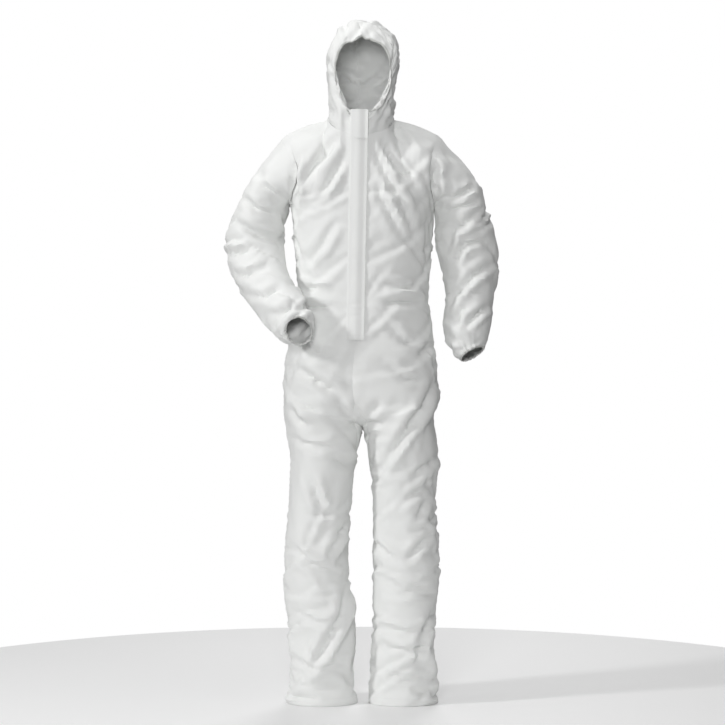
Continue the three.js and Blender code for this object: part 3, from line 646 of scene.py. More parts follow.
def fold_push(points, normals, folds, forward):
    """How far the pressed folds move each point along its normal, in metres."""
    push = np.zeros(len(points))
    shown = np.clip(forward * normals[:, 1] * 2.5 + 0.6, 0, 1)
    for depth, width, line in folds:
        line = np.array(line, float) / 1000
        width = width / 1000
        steps = np.linalg.norm(np.diff(line, axis=0), axis=1)
        reach = np.concatenate([[0], np.cumsum(steps)]) / steps.sum()
        nearest = np.full(len(points), np.inf)
        signed = np.zeros(len(points))
        share = np.zeros(len(points))
        for a, b, r0, r1 in zip(line[:-1], line[1:], reach[:-1], reach[1:]):
            d = b - a
            rel = points[:, [0, 2]] - a
            f = np.clip(rel @ d / (d @ d), 0, 1)
            off = rel - f[:, None] * d
            distance = np.hypot(off[:, 0], off[:, 1])
            closer = distance < nearest
            nearest[closer] = distance[closer]
            turn = d[0] * rel[:, 1] - d[1] * rel[:, 0]
            signed[closer] = (np.sign(turn) * distance)[closer]
            share[closer] = mix(r0, r1, f)[closer]
        taper = np.sin(np.pi * np.clip(share, 0.02, 0.98)) ** 0.7
        valley = -np.exp(-((nearest / width) ** 1.4))
        ridge = 0.75 * np.exp(-(((signed - 1.9 * width) / (1.1 * width)) ** 2))
        lip = 0.30 * np.exp(-(((signed + 1.9 * width) / (1.3 * width)) ** 2))
        push += depth / 1000 * taper * (valley + ridge + lip) * shown
    return push


def random_creases(points, normals, count, seed):
    """Short soft creases scattered over the whole suit."""
    rng = np.random.default_rng(seed)
    push = np.zeros(len(points))
    middles = points[rng.integers(0, len(points), count)]
    for middle in middles:
        n = normals[np.argmin(np.linalg.norm(points - middle, axis=1))]
        sideways = np.cross(n, (0, 0, 1))
        sideways /= max(np.linalg.norm(sideways), 1e-6)
        lift = np.cross(sideways, n)
        angle = rng.normal(0.15, 0.6) * rng.choice([-1, 1])
        along = sideways * math.cos(angle) + lift * math.sin(angle)
        across = np.cross(n, along)
        length, width = rng.uniform(0.05, 0.13), rng.uniform(0.006, 0.011)
        depth = rng.uniform(0.0010, 0.0028)
        rel = points - middle
        same = np.clip((normals @ n) * 2 - 0.6, 0, 1)
        a, b = rel @ along / length, (rel @ across) / width
        b = b + rng.uniform(-1.2, 1.2) * a**2
        shape = 0.8 * np.exp(-((b - 1.5) ** 2)) - np.exp(-np.abs(b) ** 1.4)
        push += depth * shape * np.exp(-(a**4)) * same * (np.abs(rel @ n) < 0.05)
    return push


# ---------------------------------------------------------------- the cloth, worked out once
_cloth = {}


def cloth():
    """The moved patches: pressed folds, then a short drape over a form inside."""
    if _cloth:
        return _cloth["patches"]
    patches = make_patches()
    points, quads, places = weld(patches)
    mesh = mesh_of("cloth_form", points, quads)
    flat = np.zeros(len(points) * 3)
    mesh.vertex_normals.foreach_get("vector", flat)
    normals = flat.reshape(-1, 3)
    hold = held_points(points, places)
    push = fold_push(points, normals, FRONT_FOLDS, -1)
    push += fold_push(points, normals, BACK_FOLDS, 1)
    push += random_creases(points, normals, 230, 7)
    push *= FOLD_GAIN * sizes().fold_depth * (1 - hold)
    start = points + normals * push[:, None]
    moved = drape(mesh, points, normals, start, hold)
    shift = moved - points
    for name, patch in patches.items():
        patch.moved = shift[places[name]]
    bpy.data.meshes.remove(mesh)
    _cloth["patches"] = patches
    return patches


def mesh_of(name, points, faces):
    mesh = bpy.data.meshes.new(name)
    mesh.from_pydata(np.asarray(points).tolist(), [], np.asarray(faces).tolist())
    mesh.update()
    return mesh


def near_line(points, a, b, radius):
    """1 on the line from a to b, falling to 0 at radius."""
    d = b - a
    f = np.clip((points - a) @ d / (d @ d), 0, 1)
    distance = np.linalg.norm(points - a - f[:, None] * d, axis=1)
    return np.clip(1.6 - 1.6 * distance / radius, 0, 1)


def held_points(points, places):
    """How firmly each point is held: the zip's line, and every open edge."""
    foot = ZIP_BOTTOM - (ZIP_TOP - ZIP_BOTTOM) * 0.03
    hold = near_line(points, foot, ZIP_TOP, 0.050)
    for name in SIDES:
        for edge in (
            places[f"front_{name}"][0], places[f"back_{name}"][0],
            places[f"sleeve_{name}"][-1], places[f"hood_{name}"][:, 0],
        ):
            hold[edge] = 1.0
        hold[places[f"sleeve_{name}"][-2]] = 0.6
        hold[places[f"hood_{name}"][:, 1]] = 0.5
    return hold


def drape(form_mesh, points, normals, start, hold):
    """Cloth simulation from start, with the form shrunk inside as what it lies on."""
    scene = bpy.context.scene
    inner = form_mesh.copy()
    inner.vertices.foreach_set("co", (points - normals * 0.011).ravel())
    form = bpy.data.objects.new("form_inside", inner)
    scene.collection.objects.link(form)
    form.modifiers.new("Collision", "COLLISION")
    form.collision.thickness_outer = 0.002
    form.collision.cloth_friction = 12
    body_mesh = form_mesh.copy()
    body_mesh.vertices.foreach_set("co", start.ravel())
    body = bpy.data.objects.new("cloth_body", body_mesh)
    scene.collection.objects.link(body)
    group = body.vertex_groups.new(name="held")
    for weight in np.unique(np.round(hold, 1)):
        if weight > 0:
            chosen = np.nonzero(np.round(hold, 1) == weight)[0].tolist()
            group.add(chosen, float(weight), "REPLACE")
    cloth_mod = body.modifiers.new("Cloth", "CLOTH")
    settings = cloth_mod.settings
    settings.quality = 6
    settings.mass = 0.12
    settings.air_damping = 4
    settings.tension_stiffness = 25
    settings.compression_stiffness = 25
    settings.shear_stiffness = 12
    settings.bending_stiffness = 6.0
    settings.effector_weights.gravity = 0.12
    settings.tension_damping = 12
    settings.compression_damping = 12
    settings.bending_damping = 1.0
    settings.vertex_group_mass = "held"
    settings.pin_stiffness = 1.0
    settings.shrink_min = -sizes().slack
    cloth_mod.collision_settings.use_collision = True
    cloth_mod.collision_settings.distance_min = 0.002
    cloth_mod.collision_settings.collision_quality = 2
    cloth_mod.point_cache.frame_start = 1
    cloth_mod.point_cache.frame_end = 40
    for frame_number in range(1, 15):
        scene.frame_set(frame_number)
    depsgraph = bpy.context.evaluated_depsgraph_get()
    result = body.evaluated_get(depsgraph).data
    flat = np.zeros(len(points) * 3)
    result.vertices.foreach_get("co", flat)
    settled = flat.reshape(-1, 3)
    for o in (body, form):
        data = o.data
        bpy.data.objects.remove(o)
        bpy.data.meshes.remove(data)
    scene.frame_set(1)
    shift = settled - points
    size = np.linalg.norm(shift, axis=1, keepdims=True)
    most = 0.018
    return points + shift * np.minimum(1, most / np.maximum(size, 1e-9))


# ---------------------------------------------------------------- mesh helpers
def solid_sheet(name, outer, sign, thickness, wraps=False, uv=None):
    """A panel with both faces and its cut edges, from a grid of its outer points."""
    normals = grid_normals(outer, sign)
    inner = outer - normals * thickness
    rows, columns = outer.shape[:2]
    ids = np.arange(rows * columns).reshape(rows, columns)
    if wraps:
        ids[:, -1] = ids[:, 0]
    low = ids + rows * columns
    face = np.stack([ids[:-1, :-1], ids[:-1, 1:], ids[1:, 1:], ids[1:, :-1]], -1).reshape(-1, 4)
    under = face[:, ::-1] + rows * columns
    loops = [(ids[0], low[0]), (ids[-1, ::-1], low[-1, ::-1])]
    if not wraps:
        loops += [(ids[::-1, 0], low[::-1, 0]), (ids[:, -1], low[:, -1])]
    rim = [np.stack([a[1:], a[:-1], b[:-1], b[1:]], -1) for a, b in loops]
    faces = np.concatenate([face, under, *rim])
    if sign > 0:
        faces = faces[:, ::-1]
    mesh = mesh_of(name, np.concatenate([outer.reshape(-1, 3), inner.reshape(-1, 3)]), faces)
    if uv is None:
        uv = flat_pattern(outer)
    both = np.concatenate([uv.reshape(-1, 2), uv.reshape(-1, 2)])
    layer = mesh.uv_layers.new(name="flat_pattern")
    corner = np.zeros(len(mesh.loops), int)
    mesh.loops.foreach_get("vertex_index", corner)
    layer.data.foreach_set("uv", both[corner].ravel())
    return finish_mesh(name, mesh)


def flat_pattern(points):
    """Lengths across and along a grid, in metres, as its flat pattern's coordinates."""
    across = np.linalg.norm(np.diff(points, axis=1), axis=-1)
    along = np.linalg.norm(np.diff(points, axis=0), axis=-1).mean(1)
    u = np.concatenate([np.zeros((len(points), 1)), np.cumsum(across, 1)], 1)
    v = np.concatenate([[0], np.cumsum(along)])
    return np.stack([u, np.broadcast_to(v[:, None], u.shape)], -1)


def finish_mesh(name, mesh, sharp=50):
    """Links a mesh as a smooth shaded object, moved into the frame's place."""
    mesh.transform(Matrix.Translation(SHIFT))
    mesh.validate()
    drop_loose(mesh)
    mesh.polygons.foreach_set("use_smooth", [True] * len(mesh.polygons))
    mesh.set_sharp_from_angle(angle=math.radians(sharp))
    obj = bpy.data.objects.new(name, mesh)
    bpy.context.scene.collection.objects.link(obj)
    return obj


def drop_loose(mesh):
    """Removes the points that no face uses."""
    edit = bmesh.new()
    edit.from_mesh(mesh)
    bmesh.ops.delete(edit, geom=[v for v in edit.verts if not v.link_faces], context="VERTS")
    edit.to_mesh(mesh)
    edit.free()


# ---------------------------------------------------------------- the sewn panels
_grids = {}
BODY_FINE = 2
SLEEVE_FINE = (2, 3)
HOOD_FINE = 3
GUSSET_STEPS = 44
CUFF_PLEATS = {"right": 19, "left": 17}
FACE_PLEATS = 15


def finer(values, factor):
    count = (len(values) - 1) * factor + 1
    return np.interp(np.linspace(0, len(values) - 1, count), np.arange(len(values)), values)


def gusset_edge(t):
    return np.maximum(0, GUSSET_WIDTH * (1 - np.abs(t - CROTCH) / GUSSET_REACH))


def slot_edge(t):
    """How far the front panels' edges stand back to leave the zip's slot."""
    above = level(Z_IN, np.minimum(t, ARMPIT)) - ZIP_BOTTOM[2]
    return ZIP_SLOT / PANEL_WIDTH * np.where(t > ARMPIT, 1, np.clip(above / 0.006, 0, 1))


def from_edges(uv, wraps=False):
    """Distance of each grid point from the grid's nearest edge, and from its end row."""
    u, v = uv[..., 0], uv[..., 1]
    ends = np.minimum(v, v[-1:, :] - v)
    if wraps:
        return ends, v[-1:, :] - v
    sides = np.minimum(u, u[:, -1:] - u)
    return np.minimum(ends, sides), v[-1:, :] - v


def crumple_height(point):
    """Small facets with soft ridges between them, about -1 to 1."""
    warp = Vector(noise.noise_vector(point * 18.0)) * 0.008
    p = point + warp
    big = noise.voronoi(Vector((p.x, p.y, p.z * 0.8)) * 26.0)[0]
    small = noise.voronoi(p * 62.0)[0]
    slow = noise.noise(point * 9.0)
    return 1.5 * (big[0] - 0.45) + 0.45 * (small[0] - 0.45) + 0.7 * slow


def wrinkled(points, sign, uv, wraps=False):
    """The panel's points with the small facets, sunk seams and the puckers beside them."""
    normals = grid_normals(points, sign)
    near, _ = from_edges(uv, wraps)
    flat = points.reshape(-1, 3)
    heights = np.array([crumple_height(Vector(p)) for p in flat]).reshape(points.shape[:2])
    quiet = near_line(flat, ZIP_BOTTOM, ZIP_TOP, 0.045).reshape(points.shape[:2])
    fade = np.clip(near / 0.016, 0, 1) ** 1.2 * (1 - quiet)
    push = sizes().crumple * heights * fade
    run = uv[..., 1] * 2 * np.pi / 0.021 + 3 * np.sin(uv[..., 1] * 31) + uv[..., 0] * 40
    beside = np.exp(-near / 0.014) * (1 - np.exp(-near / 0.004))
    push += 0.0013 * np.sin(run) * beside * (1 - quiet)
    push -= sizes().seam_sink * np.exp(-((near / 0.0035) ** 2)) * (1 - quiet)
    return points + normals * push[..., None]


def pleats(points, sign, turn, count, distance, height, seed):
    """Gathers drawn up by an elastic: round-topped pleats that die out with distance."""
    normals = grid_normals(points, sign)
    drift = 0.9 * np.sin(turn * 17 + seed) + 0.6 * np.sin(turn * 41 + seed * 2) + distance * 9
    wave = np.abs(np.sin(np.pi * count * turn + drift)) - 0.6
    uneven = 0.75 + 0.35 * np.sin(turn * 23 + seed * 3)
    return points + normals * (height * wave * uneven * np.exp(-distance / 0.030))[..., None]


def keep_grid(name, points, sign):
    _grids[name] = (points, grid_normals(points, sign))


def add_panel(name, node, points, sign, wraps=False, uv=None):
    keep_grid(node, points, sign)
    obj = solid_sheet(name, points, sign, sizes().cloth, wraps, uv)
    obj.data.materials.append(look("nonwoven_fabric"))
    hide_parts(node)
    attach(obj, "suit_body")
    return obj


def make_body_panels():
    for name, side in SIDES.items():
        for half in ("front", "back"):
            patch = cloth()[f"{half}_{name}"]
            sign = facing(patch.name)
            rows = finer(patch.rows, BODY_FINE)
            s = finer(patch.columns, BODY_FINE)
            t, s = np.meshgrid(rows, s, indexing="ij")
            inset = gusset_edge(t) + (slot_edge(t) if half == "front" else 0)
            points = patch.at(t, inset + (1 - inset) * s)
            points = wrinkled(points, sign, flat_pattern(points))
            points[0, :, 2] = 0.0
            add_panel(f"{half}_{name}_panel", f"{half}_panel_{name}", points, sign)


def make_gusset():
    steps = np.linspace(-1, 1, GUSSET_STEPS + 1)
    p, q = np.meshgrid(steps, steps, indexing="ij")
    sideways, backward = (p + q) / 2, (p - q) / 2
    t = CROTCH + GUSSET_REACH * (np.abs(backward) - np.abs(sideways))
    s = 2 * GUSSET_WIDTH * np.minimum(np.abs(sideways), np.abs(backward))
    points = np.zeros((*p.shape, 3))
    for name, side in SIDES.items():
        for half in ("front", "back"):
            mine = (sideways < 0) == (side < 0)
            mine &= (backward < 0) == (half == "front")
            points[mine] = cloth()[f"{half}_{name}"].at(t[mine], s[mine])
    sign = 1
    if grid_normals(points, 1)[GUSSET_STEPS // 2, GUSSET_STEPS // 2, 2] > 0:
        sign = -1
    points = wrinkled(points, sign, flat_pattern(points))
    add_panel("crotch_gusset_panel", "crotch_gusset", points, sign)


def make_sleeves():
    for name, side in SIDES.items():
        patch = cloth()[f"sleeve_{name}"]
        sign = facing(patch.name)
        rows = finer(patch.rows, SLEEVE_FINE[0])
        turns = finer(patch.columns, SLEEVE_FINE[1])
        t, turn = np.meshgrid(rows, turns, indexing="ij")
        points = patch.at(t, turn)
        uv = flat_pattern(points)
        points = wrinkled(points, sign, uv, True)
        to_cuff = from_edges(uv, True)[1]
        points = pleats(points, sign, turn, CUFF_PLEATS[name], to_cuff, 0.0030, side + 2)
        points[:, -1] = points[:, 0]
        add_panel(f"sleeve_{name}_panel", f"sleeve_{name}", points, sign, wraps=True, uv=uv)


def make_hood():
    for name, side in SIDES.items():
        patch = cloth()[f"hood_{name}"]
        sign = facing(patch.name)
        rise, u = np.meshgrid(
            finer(patch.rows, HOOD_FINE), finer(patch.columns, HOOD_FINE), indexing="ij"
        )
        slot = 0.023 * np.clip((1.25 - rise) / 0.5, 0, 1)
        points = patch.at(rise, slot + (1 - slot) * u)
        uv = flat_pattern(points)
        points = wrinkled(points, sign, uv)
        open_edge = np.clip((rise - 1.2) / 0.8, 0, 1) * np.clip((5 - rise) / 0.3, 0, 1)
        height = 0.0030 * open_edge * (1.0 if side > 0 else 0.55)
        points = pleats(points, sign, rise / 5, FACE_PLEATS, uv[..., 0], height, side + 5)
        add_panel(f"hood_{name}_panel", f"hood_panel_{name}", points, sign)


# ---------------------------------------------------------------- pieces that follow the panels
def zip_frame():
    up = (ZIP_TOP - ZIP_BOTTOM) / np.linalg.norm(ZIP_TOP - ZIP_BOTTOM)
    across = np.array((1.0, 0, 0)) - up * up[0]
    across /= np.linalg.norm(across)
    return across, -np.cross(up, across), up


def zip_point(across, out, along):
    """Points from lengths across, out of and along the zip, in metres."""
    a, o, u = zip_frame()
    across, out, along = np.broadcast_arrays(across, out, along)
    return ZIP_BOTTOM + column(across) * a + column(out) * o + column(along) * u


def add_piece(obj, slot, body, *nodes, look_name=None):
    obj.data.materials.append(look(look_name or slot))
    if nodes:
        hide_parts(*nodes)
    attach(obj, body)
    return obj


def sign_of(points, normals):
    return 1 if (grid_normals(points, 1) * normals).sum() > 0 else -1


def band_inside(name, points, normals, offset, thickness):
    """A strip that lies just inside a run of panel points."""
    outer = points - normals * offset
    return solid_sheet(name, outer, sign_of(outer, normals), thickness)


def side_by_side(pairs):
    """Grids joined column to column, as (points, normals) of each."""
    points = np.concatenate([pairs[0][0]] + [p[:, 1:] for p, _ in pairs[1:]], 1)
    normals = np.concatenate([pairs[0][1]] + [n[:, 1:] for _, n in pairs[1:]], 1)
    return points, normals


def rows_of(name, low, high, count, flip=False):
    """count rows of a kept grid between two shares of its row count."""
    points, normals = _grids[name]
    at = np.linspace(low, high, count) * (len(points) - 1)
    i = np.clip(np.floor(at).astype(int), 0, len(points) - 2)
    f = (at - i)[:, None, None]
    p, n = mix(points[i], points[i + 1], f), mix(normals[i], normals[i + 1], f)
    n = n / np.linalg.norm(n, axis=-1, keepdims=True)
    return (p[:, ::-1], n[:, ::-1]) if flip else (p, n)


def make_elastics():
    for name in SIDES:
        points, normals = rows_of(f"sleeve_{name}", 0.975, 0.998, 4)
        band = band_inside(f"cuff_elastic_{name}_band", points, normals, 0.0013, 0.0009)
        add_piece(band, "elastic", "suit_body", f"cuff_elastic_{name}")
        ring = side_by_side([
            rows_of(f"front_panel_{name}", 0.002, 0.0145, 5),
            rows_of(f"back_panel_{name}", 0.002, 0.0145, 5, flip=True),
        ])
        hem = band_inside(f"leg_hem_{name}_turnup", *ring, 0.0011, sizes().cloth)
        add_piece(hem, "nonwoven_fabric", "suit_body", f"leg_hem_{name}")
    face = []
    for name, flip in (("right", False), ("left", True)):
        points, normals = _grids[f"hood_panel_{name}"]
        first = int(0.35 * (len(points) - 1))
        strip = (points[first:, :3].swapaxes(0, 1), normals[first:, :3].swapaxes(0, 1))
        face.append(tuple(a[:, ::-1] for a in strip) if flip else strip)
    band = band_inside("hood_face_elastic_band", *side_by_side(face), 0.0013, 0.0009)
    add_piece(band, "elastic", "suit_body", "hood_face_elastic")
    row = np.interp(10, cloth()["back_right"].rows, np.linspace(0, 1, len(cloth()["back_right"].rows)))
    waist = side_by_side([
        rows_of("back_panel_right", row - 0.0042, row + 0.0042, 5, flip=True),
        rows_of("back_panel_left", row - 0.0042, row + 0.0042, 5),
    ])
    band = band_inside("waist_elastic_band", *(a[:, 4:-4] for a in waist), 0.0014, 0.0009)
    add_piece(band, "elastic", "suit_body", "waist_elastic")


FLAP_ARCH = 0.0028  # over the slider's bridge


def flap_grid(foot, top, lift, corner, lean):
    """Outer points of a flap: sewn flat along one edge, arched over the slider."""
    half = 0.022
    rows = np.linspace(0, 1, max(30, round((top - foot) / 0.0035)) + 1)
    v, u = np.meshgrid(rows, np.linspace(0, 1, 25), indexing="ij")
    along = foot + (top - foot) * v
    near = np.clip(1 - (along - foot) / max(corner, 1e-6), 0, 1) if corner else 0 * v
    left = -half + corner * (1 - np.sqrt(1 - near**2))
    across = left + (half - left) * u
    arch = np.cos(np.pi / 2 * np.clip(across / 0.0185, -1, 1)) ** 2
    sewn = np.clip((-0.0165 - across) / 0.0055, 0, 1)
    out = lift + FLAP_ARCH * arch - 0.0016 * sewn
    waver = 0.5 * np.sin(along * 61) + 0.5 * np.sin(along * 23 + 1)
    out = out + 0.0008 * waver * (0.3 + u) + lean * np.clip((across - 0.012) / 0.01, 0, 1) ** 2
    for place, depth in ((0.055, 0.0011), (0.068, 0.0009), (0.085, 0.0010), (0.20, 0.0005)):
        ripple = np.exp(-(((along - place - 0.004 * u) / 0.0042) ** 2))
        out = out - depth * ripple * np.sin(np.pi * np.clip(u, 0, 1)) * (foot < 0.01)
    return zip_point(across, out + 0.001, along), along


def make_flaps():
    length = np.linalg.norm(ZIP_TOP - ZIP_BOTTOM)
    up = zip_frame()[2][2]
    top = (NECK_HEIGHT - ZIP_BOTTOM[2]) / up - 0.002
    chin_top = (1.517 - ZIP_BOTTOM[2]) / up
    for name, foot, end, lift, corner, lean in (
        ("storm_flap", -0.004, top, 0.0016, 0.0, 0.0008),
        ("chin_flap", top - 0.008, chin_top, 0.0040, 0.014, 0.0022),
    ):
        points, _ = flap_grid(foot, end, lift, corner, lean)
        normals = grid_normals(points, -1)
        sign = sign_of(points, normals)
        if (grid_normals(points, sign)[..., 1]).mean() > 0:
            sign = -sign
        _grids[name] = (points, grid_normals(points, sign))
        obj = solid_sheet(f"{name}_fabric", points, sign, 0.0010)
        add_piece(obj, "nonwoven_fabric", name, name)
        points, normals = _grids[name]
        strip = (points[8:-6, 18:24], normals[8:-6, 18:24])
        tape = band_inside(f"{name}_adhesive_strip", *strip, 0.0011, 0.0003)
        add_piece(tape, "release_paper", name, f"{name}_adhesive")
    return length


def coil(side, start, end):
    """The outer wire of one half of a coil zip, wound round the tape's edge."""
    pitch, steps = 0.0016, 7
    turns = int((end - start) / pitch)
    angle = np.arange(turns * steps + 1) * 2 * np.pi / steps
    along = start + angle / (2 * np.pi) * pitch
    shape = np.sign(np.cos(angle)) * np.abs(np.cos(angle)) ** 0.7
    middle = zip_point(
        side * (0.0020 - 0.00088 * shape), -0.0019 + 0.00062 * np.sin(angle), along
    )
    return tube_mesh(middle, 0.00027, 5)


def tube_mesh(path, radius, sides):
    """(points, faces) of a tube round a path of points."""
    path = np.asarray(path, float)
    ahead = np.gradient(path, axis=0)
    ahead /= np.maximum(np.linalg.norm(ahead, axis=1, keepdims=True), 1e-12)
    first = np.cross(ahead, (0.13, 0.31, 0.94))
    bad = np.linalg.norm(first, axis=1) < 0.05
    first[bad] = np.cross(ahead[bad], (1, 0, 0))
    first /= np.linalg.norm(first, axis=1, keepdims=True)
    second = np.cross(ahead, first)
    angle = np.arange(sides) * 2 * np.pi / sides
    radius = np.broadcast_to(radius, len(path))[:, None, None]
    ring = np.cos(angle)[None, :, None] * first[:, None] + np.sin(angle)[None, :, None] * second[:, None]
    points = (path[:, None] + radius * ring).reshape(-1, 3)
    ids = np.arange(len(path) * sides).reshape(len(path), sides)
    nxt = np.roll(ids, -1, axis=1)
    faces = np.stack([ids[:-1], ids[1:], nxt[1:], nxt[:-1]], -1).reshape(-1, 4).tolist()
    faces = [f[::-1] for f in faces]
    faces += [ids[0].tolist()[::-1][::-1], ids[-1].tolist()[::-1]]
    return points, faces


def merged(name, parts, sharp=50):
    """One object from several (points, faces)."""
    points, faces, start = [], [], 0
    for p, f in parts:
        points.append(p)
        faces += [[i + start for i in face] for face in f]
        start += len(p)
    mesh = bpy.data.meshes.new(name)
    mesh.from_pydata(np.concatenate(points).tolist(), [], faces)
    edit = bmesh.new()
    edit.from_mesh(mesh)
    bmesh.ops.recalc_face_normals(edit, faces=edit.faces)
    edit.to_mesh(mesh)
    edit.free()
    return finish_mesh(name, mesh, sharp)


def rounded_copy(name, node, width, segments=3):
    """The CAD node's own shape with its edges rounded."""
    mesh = NODES[node].data.copy()
    mesh.name = name
    mesh.materials.clear()
    edit = bmesh.new()
    edit.from_mesh(mesh)
    bmesh.ops.remove_doubles(edit, verts=edit.verts, dist=1e-6)
    bmesh.ops.dissolve_limit(
        edit, angle_limit=math.radians(2), verts=edit.verts, edges=edit.edges
    )
    corners = [e for e in edit.edges if e.calc_face_angle(0) > math.radians(25)]
    bmesh.ops.bevel(
        edit, geom=corners, offset=width, segments=segments, profile=0.6, affect="EDGES",
        clamp_overlap=True,
    )
    edit.to_mesh(mesh)
    edit.free()
    mesh.polygons.foreach_set("use_smooth", [True] * len(mesh.polygons))
    mesh.set_sharp_from_angle(angle=math.radians(40))
    obj = bpy.data.objects.new(name, mesh)
    bpy.context.scene.collection.objects.link(obj)
    return obj


def make_zip():
    length = np.linalg.norm(ZIP_TOP - ZIP_BOTTOM)
    for name, side in SIDES.items():
        rows = np.linspace(0, length, 160)
        v, u = np.meshgrid(rows, np.linspace(0.0008, 0.012, 13), indexing="ij")
        cord = 0.00028 * np.exp(-(((u - 0.0045) / 0.0008) ** 2))
        edge = 0.00015 * np.exp(-(((u - 0.0115) / 0.0006) ** 2))
        points = zip_point(side * u, -0.0032 + cord + edge, v)
        sign = 1 if grid_normals(points, 1)[..., 1].mean() < 0 else -1
        tape = solid_sheet(f"zip_tape_{name}_woven", points, sign, 0.0006)
        add_piece(tape, "woven_tape", "suit_body", f"zip_tape_{name}")
        wire = merged(f"zip_coil_{name}_wire", [coil(side, 0.008, length - 0.007)])
        add_piece(wire, "zip_nylon", "suit_body", f"zip_coil_{name}")
        stop = rounded_copy(f"zip_top_stop_{name}_moulded", f"zip_top_stop_{name}", 0.0006)
        add_piece(stop, "zip_nylon", "suit_body", f"zip_top_stop_{name}")
    stop = rounded_copy("zip_bottom_stop_moulded", "zip_bottom_stop", 0.0006)
    add_piece(stop, "zip_nylon", "suit_body", "zip_bottom_stop")
    slider = rounded_copy("zip_slider_moulded", "zip_slider", 0.00028, 3)
    add_piece(slider, "zip_nylon", "zip_slider", "zip_slider")
    pull = rounded_copy("zip_pull_tab_moulded", "zip_pull_tab", 0.0003, 3)
    add_piece(pull, "zip_nylon", "zip_pull_tab", "zip_pull_tab")


def make_label():
    low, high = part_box("neck_label")
    middle = np.array((low + high) / 2 - SHIFT)
    v, u = np.meshgrid(np.linspace(-1, 1, 13), np.linspace(-1, 1, 19), indexing="ij")
    lean = 0.55
    y = -0.0006 + 0.0016 * u**2 - 0.0012 * v * u
    points = np.stack([
        middle[0] + 0.012 * u,
        middle[1] + y * math.cos(lean) - 0.007 * v * math.sin(lean),
        middle[2] + 0.007 * v * math.cos(lean) + y * math.sin(lean),
    ], -1)
    sign = 1 if grid_normals(points, 1)[..., 1].mean() < 0 else -1
    obj = solid_sheet("neck_label_blank", points, sign, 0.0004)
    add_piece(obj, "woven_tape", "suit_body", "neck_label")


# ---------------------------------------------------------------- rolled edges and stitching
def rolled_edge(name, line, normals, inward, size):
    """The folded edge of an opening: a soft flattened roll round its cut edge."""
    closed = np.linalg.norm(line[0] - line[-1]) < 1e-4
    angle = np.linspace(0, 2 * np.pi, 13)[:-1]
    tall, thick = size
    section = (
        np.cos(angle)[None, :, None] * inward[:, None] * tall
        + np.sin(angle)[None, :, None] * normals[:, None] * thick
    )
    centre = line + inward * tall * 0.72 - normals * 0.0004
    points = (centre[:, None] + section).reshape(-1, 3)
    ids = np.arange(len(line) * 12).reshape(len(line), 12)
    if closed:
        ids[-1] = ids[0]
    nxt = np.roll(ids, -1, axis=1)
    faces = np.stack([ids[:-1], nxt[:-1], nxt[1:], ids[1:]], -1).reshape(-1, 4).tolist()
    if not closed:
        faces += [ids[0].tolist(), ids[-1].tolist()[::-1]]
    return merged(name, [(points, faces)])


def stitch_run(line, normals, length=0.0031, gap=0.0014, radius=0.00026):
    """Thread showing along a line: one lozenge for each stitch, a little sunk."""
    steps = np.linalg.norm(np.diff(line, axis=0), axis=1)
    run = np.concatenate([[0], np.cumsum(steps)])
    starts = np.arange(0.001, run[-1] - length, length + gap)
    parts = []
    for start in starts:
        at = start + length * np.array((0, 0.18, 0.5, 0.82, 1))
        middle = np.stack([np.interp(at, run, line[:, k]) for k in range(3)], -1)
        lift = np.stack([np.interp(at, run, normals[:, k]) for k in range(3)], -1)
        middle = middle + lift * np.array((-2, 0.4, 0.8, 0.4, -2))[:, None] * 0.00012
        parts.append(tube_mesh(middle, np.array((0.3, 1, 1, 1, 0.3)) * radius, 5))
    return parts


def grid_row(name, share):
    points, normals = rows_of(name, share, share, 1)
    return points[0], normals[0]


def grid_column(name, share):
    points, normals = _grids[name]
    at = share * (points.shape[1] - 1)
    i = min(int(at), points.shape[1] - 2)
    p = mix(points[:, i], points[:, i + 1], at - i)
    return p, mix(normals[:, i], normals[:, i + 1], at - i)


def make_edges():
    for name in SIDES:
        points, normals = _grids[f"sleeve_{name}"]
        inward = points[-3] - points[-1]
        inward /= np.linalg.norm(inward, axis=1, keepdims=True)
        roll = rolled_edge(f"cuff_{name}_edge", points[-1], normals[-1], inward, (0.0030, 0.0012))
        add_piece(roll, "nonwoven_fabric", "suit_body", look_name="nonwoven_edge")
    line, normals, inward = [], [], []
    for name, flip in (("right", False), ("left", True)):
        points, n = _grids[f"hood_panel_{name}"]
        first = HOOD_FINE * HOOD_STEPS + 1
        run = [a[first:] for a in (points[:, 0], n[:, 0], points[:, 2] - points[:, 0])]
        line, normals, inward = (
            have + [a[::-1] if flip else a] for have, a in zip((line, normals, inward), run)
        )
    line, normals, inward = (np.concatenate(a) for a in (line, normals, inward))
    inward /= np.maximum(np.linalg.norm(inward, axis=1, keepdims=True), 1e-9)
    roll = rolled_edge("face_opening_edge", line, normals, inward, (0.0032, 0.0013))
    add_piece(roll, "nonwoven_fabric", "suit_body", look_name="nonwoven_edge")


